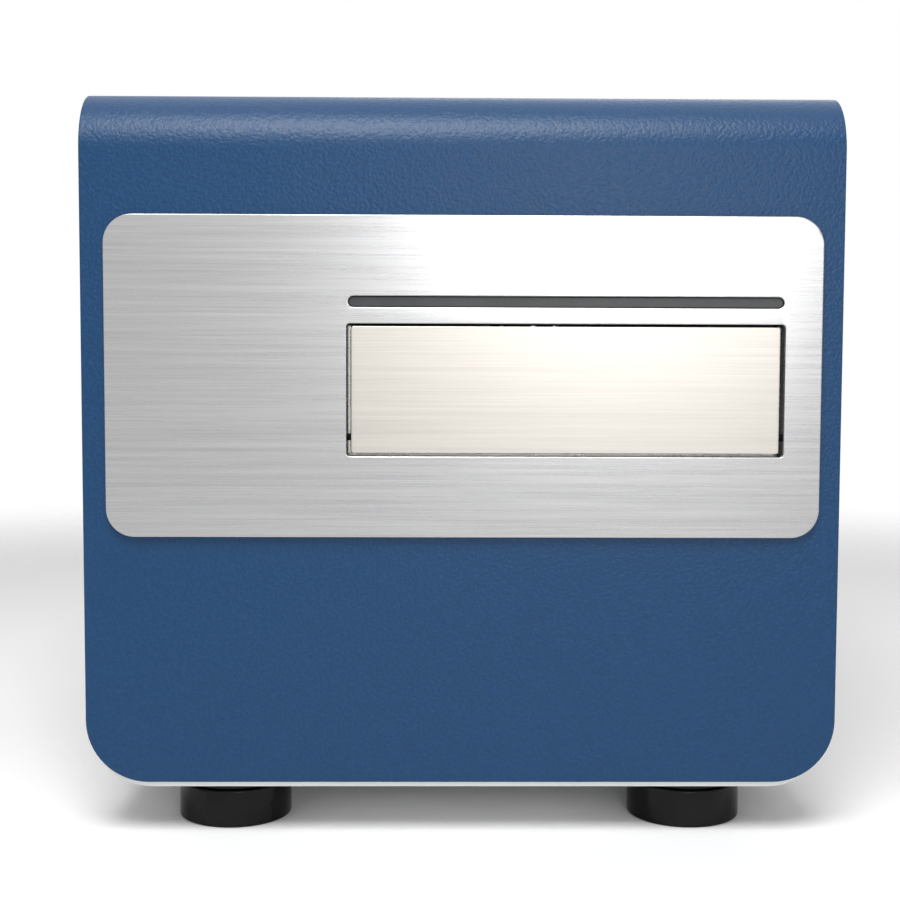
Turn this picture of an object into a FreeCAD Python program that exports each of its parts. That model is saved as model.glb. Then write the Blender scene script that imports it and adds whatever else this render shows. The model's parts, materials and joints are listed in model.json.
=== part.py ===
"""Automated cell counter: a bench instrument with a drop-down door, a plate stage and an imaging carriage.

Millimetres. X to the right, Y to the back, Z up. The origin is under the middle of the instrument, on the table.
Each sub-assembly has its own section of sizes and its own functions, and every piece is one STEP file.
"""
import FreeCAD
import Part
import math
import os

V = FreeCAD.Vector
X_AXIS = V(1, 0, 0)
Y_AXIS = V(0, 1, 0)
Z_AXIS = V(0, 0, 1)

# Overall sizes of the instrument
WIDTH = 360.0
HEIGHT = 356.0
DEPTH = 440.0
GAP = 0.3                  # between pieces that must not touch
RUN_FIT = 0.05             # radial room of a shaft in its bearing
BOLT_ROOM = 0.3            # radial room of a screw or stud in its hole

# Blue outer cover, a sheet bent over front, top and rear
COVER_T = 2.0
COVER_BEND_R = 28.5
COVER_CORNER_R = 30.0
COVER_BOTTOM_Z = 26.5
REAR_LIP_H = 56.0
LIP_SCREW_INSET = 30.0
LIP_SCREW_DROP = 14.0

# White tray, a sheet bent into bottom and sides
TRAY_T = 2.0
TRAY_INSET = 1.5
TRAY_CORNER_R = 30.0
BEND_ROOM = 1.5
FLANGE_W = 12.0
VENT_L = 60.0
VENT_W = 5.0
VENT_PITCH = 12.0
VENT_COUNT = 7
VENT_X = -110.0

# Feet, turned, each held by one screw
FOOT_R = 28.0
FOOT_H = 24.0
FOOT_SIDE_INSET = 66.5
FOOT_SETBACK = 12.0
FOOT_FLANGE_H = 3.5
FOOT_GROOVE_H = 1.0
FOOT_GROOVE_DEPTH = 1.4
FOOT_SHOULDER_R = 2.0
FOOT_BASE_R = 0.8
FOOT_FLANGE_LIP = 0.3
FOOT_SHOULDER_EASE = 0.3
FOOT_HEAD_R = 4.25
FOOT_HEAD_H = 5.0
FOOT_NUT_H = 4.0
FOOT_KEY = 4.0
FOOT_KEY_DEPTH = 2.5
FOOT_POCKET_R = 7.0
FOOT_POCKET_H = 14.0
FOOT_SCREW_R = 2.5

# Brushed faceplate on the front
PLATE_T = 3.0
PLATE_MARGIN = 11.0
PLATE_X = 0.5
PLATE_BOTTOM_Z = 145.4
PLATE_H = 151.8
PLATE_CORNER_R = 13.5
PLATE_EDGE = 0.35
STUD_R = 1.5
STUD_L = 7.5
STUD_INSET = 13.0
NUT_FLATS = 5.5
NUT_T = 2.4

# Opening of the door in the faceplate, and the bar of light above it
OPEN_W = 206.7
OPEN_RIGHT_INSET = 28.1
OPEN_BOTTOM_Z = 184.0
OPEN_H = 62.5
OPEN_CORNER_R = 1.6
SLOT_W = 205.0
SLOT_H = 5.2
SLOT_Z = 256.8
WINDOW_SIDE = 13.5
WINDOW_CORNER_R = 4.0
WINDOW_BELOW = 21.0
WINDOW_ABOVE = 5.0

# Rear panel and what stands in it
REAR_T = 2.0
REAR_SIDE_GAP = 4.0
REAR_BOTTOM_GAP = 1.0
REAR_TOP_OVERLAP = 22.0
PANEL_SCREW_INSET = 6.0
SCREW_R = 2.0
HEAD_R = 3.8
HEAD_H = 2.2
HEX_KEY = 2.5
HEX_DEPTH = 1.3
SCREW_TAIL = 3.0
HEAD_RIM_SHARE = 0.4
HEAD_CROWN_SHARE = 0.62
REAR_PROUD = COVER_T + HEAD_H

# Planes that follow from the sizes above
Y_FACE = -DEPTH / 2
Y_FRONT = Y_FACE + PLATE_T
Y_COVER_IN = Y_FRONT + COVER_T
Y_REAR = DEPTH / 2 - REAR_PROUD
Y_REAR_IN = Y_REAR - REAR_T
Y_LIP = Y_REAR + COVER_T
TRAY_X = WIDTH / 2 - TRAY_INSET
PLATE_W = WIDTH - 2 * PLATE_MARGIN
OPEN_X = WIDTH / 2 - OPEN_RIGHT_INSET - OPEN_W / 2
FOOT_X = WIDTH / 2 - FOOT_SIDE_INSET
TRAY_FLOOR = FOOT_H + TRAY_T
LIP_BOTTOM_Z = HEIGHT - REAR_LIP_H
REAR_TOP_Z = LIP_BOTTOM_Z + REAR_TOP_OVERLAP
FOOT_Y = Y_FRONT + FOOT_SETBACK + FOOT_R
FOOT_Y_REAR = Y_REAR - FOOT_SETBACK - FOOT_R
OPEN_LEFT = OPEN_X - OPEN_W / 2
OPEN_RIGHT = OPEN_X + OPEN_W / 2
OPEN_TOP_Z = OPEN_BOTTOM_Z + OPEN_H
WINDOW = (OPEN_LEFT - WINDOW_SIDE, OPEN_RIGHT + WINDOW_SIDE,
          OPEN_BOTTOM_Z - WINDOW_BELOW, SLOT_Z + SLOT_H / 2 + WINDOW_ABOVE)


def deep(distance):
    """The Y of a point that lies this far behind the face of the faceplate."""
    return Y_FACE + distance


def block(x0, x1, y0, y1, z0, z1):
    """A box between two corners."""
    return Part.makeBox(x1 - x0, y1 - y0, z1 - z0, V(x0, y0, z0))


def rod(radius, start, axis, length):
    """A cylinder from a start point along an axis."""
    return Part.makeCylinder(radius, length, V(*start), axis)


def tube(outer, inner, start, axis, length):
    """A hollow cylinder."""
    return rod(outer, start, axis, length).cut(rod(inner, start, axis, length))


def rounded(shape, radius, axis):
    """The shape with its straight edges along an axis rounded."""
    edges = []
    for edge in shape.Edges:
        if len(edge.Vertexes) != 2:
            continue
        span = edge.Vertexes[1].Point.sub(edge.Vertexes[0].Point)
        if span.Length > 1e-6 and span.cross(axis).Length < 1e-6 * span.Length:
            edges.append(edge)
    return shape.makeFillet(radius, edges)


def slab(x0, x1, y0, y1, z0, z1, radius, axis):
    """A box with four rounded edges along an axis."""
    return rounded(block(x0, x1, y0, y1, z0, z1), radius, axis)


def fuse(first, *others):
    """One solid of several that touch or overlap."""
    return first.fuse(list(others)).removeSplitter()


def prism(points, push):
    """A solid of a closed outline of points, pushed along a vector."""
    wire = Part.makePolygon([V(*p) for p in points] + [V(*points[0])])
    return Part.Face(wire).extrude(push)


def ring_of(count, radius, turn=0.0):
    """Evenly spaced places on a circle, as pairs."""
    places = []
    for i in range(count):
        angle = turn + 2 * math.pi * i / count
        places.append((radius * math.cos(angle), radius * math.sin(angle)))
    return places


def hexagon(flats, centre, axis, length):
    """A six-sided bar across given flats."""
    radius = flats / math.sqrt(3)
    points = []
    for a, b in ring_of(6, radius, math.pi / 6):
        if axis is Y_AXIS:
            points.append((centre[0] + a, centre[1], centre[2] + b))
        elif axis is X_AXIS:
            points.append((centre[0], centre[1] + a, centre[2] + b))
        else:
            points.append((centre[0] + a, centre[1] + b, centre[2]))
    return prism(points, V(axis).multiply(length))


def save(name, *solids):
    """Writes a piece, or a group of like pieces, as one STEP file."""
    shape = solids[0] if len(solids) == 1 else Part.makeCompound(list(solids))
    bad = [s for s in shape.Solids if not s.isValid()]
    if bad or not shape.Solids:
        print("CHECK", name, "solids", len(shape.Solids), "invalid", len(bad))
    shape.exportStep(os.path.join("parts", name + ".step"))


# Housing: cover, tray, rear panel, feet

def cover_band(offset, x_half):
    """The filled side outline of the cover, drawn in by an offset and pushed across the width."""
    radius = COVER_BEND_R - offset
    solid = block(-x_half, x_half, Y_FRONT + offset, Y_LIP - offset, 0.0, HEIGHT - offset)
    top_edges = []
    for edge in solid.Edges:
        low = min(v.Point.z for v in edge.Vertexes)
        along_x = abs(edge.Vertexes[0].Point.x - edge.Vertexes[1].Point.x) > 1
        if low > HEIGHT - offset - 1e-6 and along_x:
            top_edges.append(edge)
    return solid.makeFillet(radius, top_edges)


def stud_places():
    """X and Z of the studs that hold the faceplate on the cover."""
    low_z = PLATE_BOTTOM_Z + STUD_INSET
    high_z = PLATE_BOTTOM_Z + PLATE_H - STUD_INSET
    reach = PLATE_W / 2 - STUD_INSET
    return [(PLATE_X + side * reach, z) for side in (-1, 1) for z in (low_z, high_z)]


def lip_screw_places():
    """X and Z of the screws through the rear lip of the cover."""
    z = LIP_BOTTOM_Z + LIP_SCREW_DROP
    reach = WIDTH / 2 - LIP_SCREW_INSET
    return [(side * reach * share, z) for side in (-1, 1) for share in (1.0, 0.36)]


def outer_cover():
    """The blue sheet over front, top and rear."""
    shell = cover_band(0.0, WIDTH / 2).cut(cover_band(COVER_T, WIDTH))
    shell = shell.cut(block(-WIDTH, WIDTH, -DEPTH, 0.0, -1.0, COVER_BOTTOM_Z))
    shell = shell.cut(block(-WIDTH, WIDTH, 0.0, DEPTH, -1.0, LIP_BOTTOM_Z))
    front = slab(-WIDTH / 2, WIDTH / 2, Y_FRONT - 1, Y_COVER_IN + 1,
                 COVER_BOTTOM_Z, HEIGHT, COVER_CORNER_R, Y_AXIS)
    corner_z = COVER_BOTTOM_Z + COVER_CORNER_R
    corners = block(-WIDTH, WIDTH, Y_FRONT - 1, Y_COVER_IN + 1, -1.0, corner_z).cut(front)
    shell = shell.cut(corners)
    x0, x1, z0, z1 = WINDOW
    shell = shell.cut(slab(x0, x1, Y_FRONT, Y_COVER_IN, z0, z1, WINDOW_CORNER_R, Y_AXIS))
    for x, z in stud_places():
        shell = shell.cut(rod(STUD_R + BOLT_ROOM, (x, Y_FRONT - 1, z), Y_AXIS, COVER_T + 2))
    for x, z in lip_screw_places():
        shell = shell.cut(rod(SCREW_R + BOLT_ROOM, (x, Y_REAR - 1, z), Y_AXIS, COVER_T + 2))
    save("outer_cover", shell)


def tray_section(inset, y0, y1):
    """The filled end outline of the tray, drawn in by an inset, between two planes."""
    solid = block(-TRAY_X + inset, TRAY_X - inset, y0, y1, FOOT_H + inset, 2 * HEIGHT)
    edges = [e for e in solid.Edges
             if max(v.Point.z for v in e.Vertexes) < FOOT_H + inset + 1e-6
             and abs(e.Vertexes[0].Point.y - e.Vertexes[1].Point.y) > 1e-6]
    return solid.makeFillet(max(TRAY_CORNER_R - inset, 1.0), edges)


def foot_places():
    """Name, X and Y of each foot."""
    return [("front_left", -FOOT_X, FOOT_Y), ("front_right", FOOT_X, FOOT_Y),
            ("rear_left", -FOOT_X, FOOT_Y_REAR), ("rear_right", FOOT_X, FOOT_Y_REAR)]


def panel_screw_places():
    """X and Z of the screws of the rear panel, in the flanges of the tray."""
    reach = TRAY_X - PANEL_SCREW_INSET
    heights = [TRAY_FLOOR + TRAY_CORNER_R, (TRAY_FLOOR + LIP_BOTTOM_Z) / 2, LIP_BOTTOM_Z - LIP_SCREW_DROP]
    return [(side * reach, z) for side in (-1, 1) for z in heights]


def chassis_tray():
    """The white bottom and sides in one bent sheet, with flanges at both ends."""
    tray = tray_section(0.0, Y_COVER_IN, Y_REAR_IN)
    tray = tray.cut(tray_section(TRAY_T, Y_COVER_IN + TRAY_T, Y_REAR_IN - TRAY_T))
    tray = tray.cut(tray_section(FLANGE_W, Y_COVER_IN - 1, Y_REAR_IN + 1))
    top_z = HEIGHT - COVER_T - GAP
    side = block(-WIDTH, WIDTH, Y_COVER_IN, Y_REAR_IN, 0.0, top_z)
    round_r = COVER_BEND_R - COVER_T + BEND_ROOM
    edges = [e for e in side.Edges
             if min(v.Point.z for v in e.Vertexes) > top_z - 1e-6
             and abs(e.Vertexes[0].Point.x - e.Vertexes[1].Point.x) > 1]
    tray = tray.common(side.makeFillet(round_r, edges))
    for i in range(VENT_COUNT):
        y = (i - (VENT_COUNT - 1) / 2) * VENT_PITCH
        tray = tray.cut(block(VENT_X - VENT_L / 2, VENT_X + VENT_L / 2, y - VENT_W / 2, y + VENT_W / 2,
                              FOOT_H - 1, TRAY_FLOOR + 1))
    for _, x, y in foot_places():
        tray = tray.cut(rod(FOOT_SCREW_R + BOLT_ROOM, (x, y, FOOT_H - 1), Z_AXIS, TRAY_T + 2))
    for x, z in panel_screw_places():
        tray = tray.cut(rod(SCREW_R + BOLT_ROOM, (x, Y_REAR_IN - TRAY_T - 1, z), Y_AXIS, TRAY_T + 2))
    save("chassis_tray", tray)


def foot(x, y):
    """One turned foot with a thin flange, a groove, and a pocket for its screw."""
    flange_z = FOOT_H - FOOT_FLANGE_H
    groove_z = flange_z - FOOT_GROOVE_H
    neck_r = FOOT_R - FOOT_GROOVE_DEPTH - FOOT_SHOULDER_R
    flange_r = FOOT_R + FOOT_FLANGE_LIP
    bore_r = FOOT_SCREW_R + BOLT_ROOM
    ease = FOOT_SHOULDER_R * FOOT_SHOULDER_EASE
    section = [(FOOT_POCKET_R, 0.0), (FOOT_R - FOOT_BASE_R, 0.0), (FOOT_R, FOOT_BASE_R),
               (FOOT_R, groove_z - FOOT_SHOULDER_R), (FOOT_R - ease, groove_z - ease),
               (FOOT_R - FOOT_SHOULDER_R, groove_z), (neck_r, groove_z), (neck_r, flange_z), (flange_r, flange_z),
               (flange_r, FOOT_H), (bore_r, FOOT_H), (bore_r, FOOT_POCKET_H), (FOOT_POCKET_R, FOOT_POCKET_H)]
    wire = Part.makePolygon([V(r, 0, z) for r, z in section + section[:1]])
    solid = Part.Face(wire).revolve(V(0, 0, 0), Z_AXIS, 360)
    solid.translate(V(x, y, 0))
    return solid


def foot_screw(x, y):
    """A cap screw up through a foot, with its nut above the tray."""
    head = rod(FOOT_HEAD_R, (x, y, FOOT_POCKET_H - FOOT_HEAD_H), Z_AXIS, FOOT_HEAD_H)
    shank = rod(FOOT_SCREW_R, (x, y, FOOT_POCKET_H - 1), Z_AXIS, TRAY_FLOOR - FOOT_POCKET_H + 1.5 * FOOT_NUT_H)
    nut = hexagon(2 * FOOT_NUT_H, (x, y, TRAY_FLOOR), Z_AXIS, FOOT_NUT_H)
    socket = hexagon(FOOT_KEY, (x, y, FOOT_POCKET_H - FOOT_HEAD_H), Z_AXIS, FOOT_KEY_DEPTH)
    return fuse(head, shank, nut).cut(socket)


def feet():
    """Four feet and their screws."""
    for name, x, y in foot_places():
        save("foot_" + name, foot(x, y))
    save("foot_screws", *[foot_screw(x, y) for _, x, y in foot_places()])


def button_screw(x, y, z, length):
    """A button-head screw along Y, its head toward +Y on the plane y."""
    rim = HEAD_H * HEAD_RIM_SHARE
    head = rod(HEAD_R, (x, y, z), Y_AXIS, rim)
    crown = Part.makeCone(HEAD_R, HEAD_R * HEAD_CROWN_SHARE, HEAD_H - rim, V(x, y + rim, z), Y_AXIS)
    shank = rod(SCREW_R, (x, y - length, z), Y_AXIS, length + rim)
    return fuse(head, crown, shank).cut(hexagon(HEX_KEY, (x, y + HEAD_H - HEX_DEPTH, z), Y_AXIS, HEAD_H))


# Rear panel with fan grille, mains inlet, switch and data port
FAN_SIDE_INSET = 110.0
FAN_DROP = 65.0
FAN_SIZE = 80.0
FAN_T = 25.0
FAN_PITCH = 71.5
FAN_WALL = 2.0
FAN_CORNER_R = 4.0
FAN_ARM_T = 3.0
FAN_ARM_W = 5.0
STATOR_L = 4.0
BLADE_LEAN = 7.0
BLADE_T = 1.5
BLADE_INSET = 1.0
GRILLE_RINGS = 4
GRILLE_PITCH = 8.0
GRILLE_FLATS = 6.6
ROTOR_HUB_R = 16.0
ROTOR_TIP_GAP = 1.2
BLADES = 7
SPIN_SHAFT_R = 1.5
INLET_SIDE_INSET = 62.0
INLET_Z = 78.0
INLET_W = 28.0
INLET_H = 50.0
INLET_DEPTH = 30.0
INLET_BEZEL = 3.0
INLET_PROUD = 3.0
BEZEL_CORNER_R = 3.0
DRAWER_INSET = 3.0
DRAWER_H = 14.0
DRAWER_DROP = 11.0
GRIP_W = 10.0
GRIP_H = 4.0
SOCKET_RISE = 3.0
SOCKET_W = 24.0
SOCKET_H = 16.5
SOCKET_DEPTH = 17.0
PIN_PITCH = 7.0
PIN_RISE = 4.0
PIN_W = 2.0
PIN_T = 4.0
PIN_L = 15.0
SWITCH_STEP = 40.0
SWITCH_W = 15.0
SWITCH_H = 21.0
SWITCH_DEPTH = 18.0
SWITCH_BEZEL = 2.0
SWITCH_CORNER_R = 1.5
SWITCH_WALL = 2.0
SWITCH_END = 1.5
SWITCH_BACK = 4.0
PIVOT_R = 1.2
PIVOT_DEPTH = 5.0
ROCKER_END_GAP = 3.0
ROCKER_BACK = 4.0
ROCKER_EDGE = 3.6
ROCKER_DIP = 5.0
ROCKER_CREST = 6.2
USB_STEP = 38.0
USB_W = 12.0
USB_H = 11.0
USB_DEPTH = 16.0
USB_WALL = 1.2
USB_PROUD = 0.6
USB_BACK = 4.0
TONGUE_W = 5.6
TONGUE_T = 2.4
TONGUE_SHORT = 1.5

FAN_X = WIDTH / 2 - FAN_SIDE_INSET
FAN_Z = LIP_BOTTOM_Z - FAN_DROP
INLET_X = INLET_SIDE_INSET - WIDTH / 2
SWITCH_X = INLET_X + SWITCH_STEP
USB_X = SWITCH_X + USB_STEP


def grille_places():
    """X and Z of the hexagonal holes in front of the fan."""
    places = []
    for row in range(-GRILLE_RINGS, GRILLE_RINGS + 1):
        count = 2 * GRILLE_RINGS + 1 - abs(row)
        z = row * GRILLE_PITCH * math.sqrt(3) / 2
        for i in range(count):
            places.append((FAN_X + (i - (count - 1) / 2) * GRILLE_PITCH, FAN_Z + z))
    return places


def fan_screw_places():
    """X and Z of the four fan screws."""
    half = FAN_PITCH / 2
    return [(FAN_X + a * half, FAN_Z + b * half) for a in (-1, 1) for b in (-1, 1)]


def rear_panel():
    """The white panel that closes the back, bolted to the tray and the cover lip."""
    x1 = TRAY_X - REAR_SIDE_GAP / 2
    z0 = TRAY_FLOOR + REAR_BOTTOM_GAP
    panel = block(-x1, x1, Y_REAR_IN, Y_REAR, z0, REAR_TOP_Z)
    low = []
    for edge in panel.Edges:
        points = [v.Point for v in edge.Vertexes]
        if abs(points[0].y - points[1].y) > 1e-6 and points[0].z < z0 + 1e-6:
            low.append(edge)
    panel = panel.makeFillet(TRAY_CORNER_R - TRAY_T, low)
    for x, z in panel_screw_places() + lip_screw_places() + fan_screw_places():
        panel = panel.cut(rod(SCREW_R + BOLT_ROOM, (x, Y_REAR_IN - 1, z), Y_AXIS, REAR_T + 2))
    holes = [hexagon(GRILLE_FLATS, (x, Y_REAR_IN - 1, z), Y_AXIS, REAR_T + 2) for x, z in grille_places()]
    panel = panel.cut(Part.makeCompound(holes))
    for x, wide, high, z in ((INLET_X, INLET_W, INLET_H, INLET_Z), (SWITCH_X, SWITCH_W, SWITCH_H, INLET_Z),
                             (USB_X, USB_W, USB_H, INLET_Z)):
        panel = panel.cut(block(x - wide / 2 - GAP, x + wide / 2 + GAP, Y_REAR_IN - 1, Y_REAR + 1,
                                z - high / 2 - GAP, z + high / 2 + GAP))
    save("rear_panel", panel)


def rear_fasteners():
    """Screws of the cover lip, and screws of the panel and the fan."""
    save("cover_screws", *[button_screw(x, Y_LIP, z, COVER_T + REAR_T + SCREW_TAIL) for x, z in lip_screw_places()])
    seats = [(x, z) for x, z in panel_screw_places() if z < LIP_BOTTOM_Z - HEAD_R - LIP_SCREW_DROP]
    seats += panel_screw_places()[2::3]
    save("panel_screws", *[button_screw(x, Y_REAR, z, REAR_T + TRAY_T + SCREW_TAIL)
                           for x, z in seats + fan_screw_places()])


def power_inlet():
    """Inlet housing with bezel, earth pin and two line pins, and its fuse drawer."""
    x0, x1 = INLET_X - INLET_W / 2, INLET_X + INLET_W / 2
    z0, z1 = INLET_Z - INLET_H / 2, INLET_Z + INLET_H / 2
    face = Y_REAR + INLET_PROUD
    body = block(x0, x1, Y_REAR - INLET_DEPTH, Y_REAR, z0, z1)
    bezel = slab(x0 - INLET_BEZEL, x1 + INLET_BEZEL, Y_REAR, face, z0 - INLET_BEZEL, z1 + INLET_BEZEL,
                 BEZEL_CORNER_R, Y_AXIS)
    floor = face - SOCKET_DEPTH
    socket_z = z0 + SOCKET_H / 2 + SOCKET_RISE
    socket = slab(INLET_X - SOCKET_W / 2, INLET_X + SOCKET_W / 2, floor, face, socket_z - SOCKET_H / 2,
                  socket_z + SOCKET_H / 2, BEZEL_CORNER_R, Y_AXIS)
    low, high = z1 - DRAWER_DROP - DRAWER_H / 2, z1 - DRAWER_DROP + DRAWER_H / 2
    left, right = x0 + DRAWER_INSET, x1 - DRAWER_INSET
    housing = fuse(body, bezel).cut(socket).cut(block(left, right, floor, face, low, high))
    pins = []
    for dx, dz in ((-PIN_PITCH, -PIN_RISE / 2), (PIN_PITCH, -PIN_RISE / 2), (0.0, PIN_RISE / 2)):
        pins.append(block(INLET_X + dx - PIN_W / 2, INLET_X + dx + PIN_W / 2, floor, floor + PIN_L,
                          socket_z + dz - PIN_T / 2, socket_z + dz + PIN_T / 2))
    save("power_inlet", housing, *pins)
    drawer = block(left + GAP, right - GAP, floor, face, low + GAP, high - GAP)
    middle = (low + high) / 2
    grip = block(INLET_X - GRIP_W / 2, INLET_X + GRIP_W / 2, face - INLET_BEZEL + 1, face,
                 middle - GRIP_H / 2, middle + GRIP_H / 2)
    save("fuse_drawer", drawer.cut(grip))


def power_switch():
    """The switch housing in the panel and the rocker that tilts in it."""
    x0, x1 = SWITCH_X - SWITCH_W / 2, SWITCH_X + SWITCH_W / 2
    z0, z1 = INLET_Z - SWITCH_H / 2, INLET_Z + SWITCH_H / 2
    body = block(x0, x1, Y_REAR - SWITCH_DEPTH, Y_REAR, z0, z1)
    bezel = slab(x0 - SWITCH_BEZEL, x1 + SWITCH_BEZEL, Y_REAR, Y_REAR + SWITCH_BEZEL, z0 - SWITCH_BEZEL,
                 z1 + SWITCH_BEZEL, SWITCH_CORNER_R, Y_AXIS)
    hollow = block(x0 + SWITCH_WALL, x1 - SWITCH_WALL, Y_REAR - SWITCH_DEPTH + SWITCH_BACK, Y_REAR + SWITCH_BEZEL,
                   z0 + SWITCH_END, z1 - SWITCH_END)
    axis_y = Y_REAR - PIVOT_DEPTH
    pivot = rod(PIVOT_R, (x0 + SWITCH_WALL / 2, axis_y, INLET_Z), X_AXIS, SWITCH_W - SWITCH_WALL)
    save("power_switch_body", fuse(body, bezel).cut(hollow).fuse(pivot))
    half = SWITCH_H / 2 - ROCKER_END_GAP
    outline = [(0, axis_y - ROCKER_BACK, -ROCKER_BACK), (0, axis_y + ROCKER_EDGE, -half),
               (0, axis_y + ROCKER_CREST, -half), (0, axis_y + ROCKER_DIP, 0), (0, axis_y + ROCKER_CREST, half),
               (0, axis_y + ROCKER_EDGE, half), (0, axis_y - ROCKER_BACK, ROCKER_BACK)]
    rocker = prism(outline, V(SWITCH_W - 2 * (SWITCH_WALL + GAP), 0, 0))
    rocker.translate(V(x0 + SWITCH_WALL + GAP, 0, INLET_Z))
    rocker = rocker.cut(rod(PIVOT_R + RUN_FIT, (x0, axis_y, INLET_Z), X_AXIS, SWITCH_W))
    save("power_rocker", rocker)


def usb_port():
    """The data socket: a metal shell round a square hole with its tongue."""
    x0, x1 = USB_X - USB_W / 2, USB_X + USB_W / 2
    z0, z1 = INLET_Z - USB_H / 2, INLET_Z + USB_H / 2
    back, face = Y_REAR - USB_DEPTH, Y_REAR + USB_PROUD
    shell = block(x0, x1, back, face, z0, z1)
    shell = shell.cut(block(x0 + USB_WALL, x1 - USB_WALL, back + USB_BACK, face, z0 + USB_WALL, z1 - USB_WALL))
    tongue = block(USB_X - TONGUE_W / 2, USB_X + TONGUE_W / 2, back + USB_BACK / 2, Y_REAR - TONGUE_SHORT,
                   INLET_Z - TONGUE_T / 2, INLET_Z + TONGUE_T / 2)
    save("usb_port", shell.fuse(tongue))


def fan():
    """Square fan frame with a stator hub on four arms, and the bladed rotor on its shaft."""
    y1 = Y_REAR_IN
    y0 = y1 - FAN_T
    half = FAN_SIZE / 2
    bore = half - FAN_WALL
    frame = slab(FAN_X - half, FAN_X + half, y0, y1, FAN_Z - half, FAN_Z + half, FAN_CORNER_R, Y_AXIS)
    frame = frame.cut(rod(bore, (FAN_X, y0, FAN_Z), Y_AXIS, FAN_T))
    reach = bore + FAN_WALL / 2
    wide = FAN_ARM_W / 2
    arm = block(FAN_X - reach, FAN_X + reach, y0, y0 + FAN_ARM_T, FAN_Z - wide, FAN_Z + wide)
    other = block(FAN_X - wide, FAN_X + wide, y0, y0 + FAN_ARM_T, FAN_Z - reach, FAN_Z + reach)
    hub = rod(ROTOR_HUB_R - 1, (FAN_X, y0, FAN_Z), Y_AXIS, STATOR_L)
    frame = fuse(frame, arm, other, hub)
    frame = frame.cut(rod(SPIN_SHAFT_R + RUN_FIT, (FAN_X, y0, FAN_Z), Y_AXIS, STATOR_L))
    for x, z in fan_screw_places():
        frame = frame.cut(rod(SCREW_R + BOLT_ROOM / 2, (x, y1 - 2 * STATOR_L, z), Y_AXIS, 2 * STATOR_L))
    save("fan_frame", frame)
    r0 = y0 + STATOR_L + GAP
    cup_l = FAN_T - 1.5 * STATOR_L
    cup = rod(ROTOR_HUB_R, (FAN_X, r0, FAN_Z), Y_AXIS, cup_l)
    shaft = rod(SPIN_SHAFT_R, (FAN_X, y0 + BLADE_INSET / 2, FAN_Z), Y_AXIS, 2 * STATOR_L)
    blades = []
    tip = bore - ROTOR_TIP_GAP
    low, high = r0 + BLADE_INSET, r0 + cup_l - 3 * BLADE_INSET
    outline = [(-BLADE_LEAN, low), (BLADE_T - BLADE_LEAN, low), (BLADE_LEAN, high), (BLADE_LEAN - BLADE_T, high)]
    for i in range(BLADES):
        blade = prism([(x, y, ROTOR_HUB_R - 2 * BLADE_INSET) for x, y in outline], V(0, 0, tip - ROTOR_HUB_R))
        blade.translate(V(FAN_X, 0, FAN_Z))
        blade.rotate(V(FAN_X, 0, FAN_Z), Y_AXIS, 360.0 * i / BLADES)
        blades.append(blade)
    rotor = fuse(cup, shaft, *blades)
    rotor = rotor.common(rod(tip, (FAN_X, y0, FAN_Z), Y_AXIS, FAN_T))
    save("fan_rotor", rotor)


# Front: faceplate, door, hinge, sector gear and pinion
DOOR_T = 2.5
DOOR_CORNER_R = 1.2
FOLD_INSET = 6.0
FOLD_W = 5.0
FOLD_DROP = 1.5
CHEEK_HALF = 20.0
TUNNEL_EAR = 10.0
STUD_SPREAD = 0.9
DOOR_RECESS = 0.5
DOOR_SIDE_GAP = 2.15
DOOR_TOP_GAP = 1.2
DOOR_BOTTOM_GAP = 1.5
HINGE_DEPTH = 5.6
HINGE_RISE = 7.3
HINGE_R = 1.5
TAB_T = 2.0
TAB_R = 4.0
TAB_RISE = 14.0
TUNNEL_T = 3.0
TUNNEL_DEPTH = 24.0
TUNNEL_CHEEK_DEPTH = 50.0
TUNNEL_FLOOR_DROP = 10.3
TUNNEL_ROOF_GAP = 1.5
TUNNEL_SHEET = 2.5
TUNNEL_FLANGE = 13.0
MODULE = 0.8
SECTOR_TEETH = 60
SECTOR_CUT = 16
PINION_TEETH = 15
PRESSURE_ANGLE = 20.0
BACKLASH = 0.12
GEAR_W = 5.0
GEAR_GAP = 1.5
SECTOR_HUB_R = 2.3
SECTOR_HOLE_R = 4.2
SECTOR_HOLE_AT = 14.5
SECTOR_HOLE_TURN = math.radians(21)
PINION_SHAFT_R = 2.0
MOTOR_R = 10.0
MOTOR_L = 44.0
MOTOR_PLATE_T = 2.5
MOTOR_PLATE_REACH = 14.0
MOTOR_STEP_AT = 18.0
MOTOR_STEP_W = 1.2
MOTOR_STEP_H = 0.6
MOTOR_BOSS_R = 6.0
MOTOR_BOSS_L = 3.0
MOTOR_WELL = 6.0
POST_INSET = 5.0
POST_R = 2.5
LENS_DEPTH = 3.2
LENS_CREST = 1.2
LENS_FOOT = 4.0
LENS_FOOT_RISE = 1.8
ROUND_END = 0.01
BOARD_T = 1.6

HINGE_Y = deep(HINGE_DEPTH)
DOOR_BOTTOM_Z = OPEN_BOTTOM_Z + DOOR_BOTTOM_GAP
DOOR_TOP_Z = OPEN_TOP_Z - DOOR_TOP_GAP
DOOR_LEFT = OPEN_LEFT + DOOR_SIDE_GAP
DOOR_RIGHT = OPEN_RIGHT - DOOR_SIDE_GAP
HINGE_Z = DOOR_BOTTOM_Z + HINGE_RISE
GEAR_X1 = OPEN_LEFT - TUNNEL_T - GEAR_GAP
GEAR_X0 = GEAR_X1 - GEAR_W
SECTOR_R = MODULE * SECTOR_TEETH / 2
PINION_R = MODULE * PINION_TEETH / 2
PINION_Y = HINGE_Y + SECTOR_R + PINION_R
TUNNEL_FLOOR_Z = HINGE_Z - TUNNEL_FLOOR_DROP
TUNNEL_ROOF_Z = OPEN_TOP_Z + TUNNEL_ROOF_GAP


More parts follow.
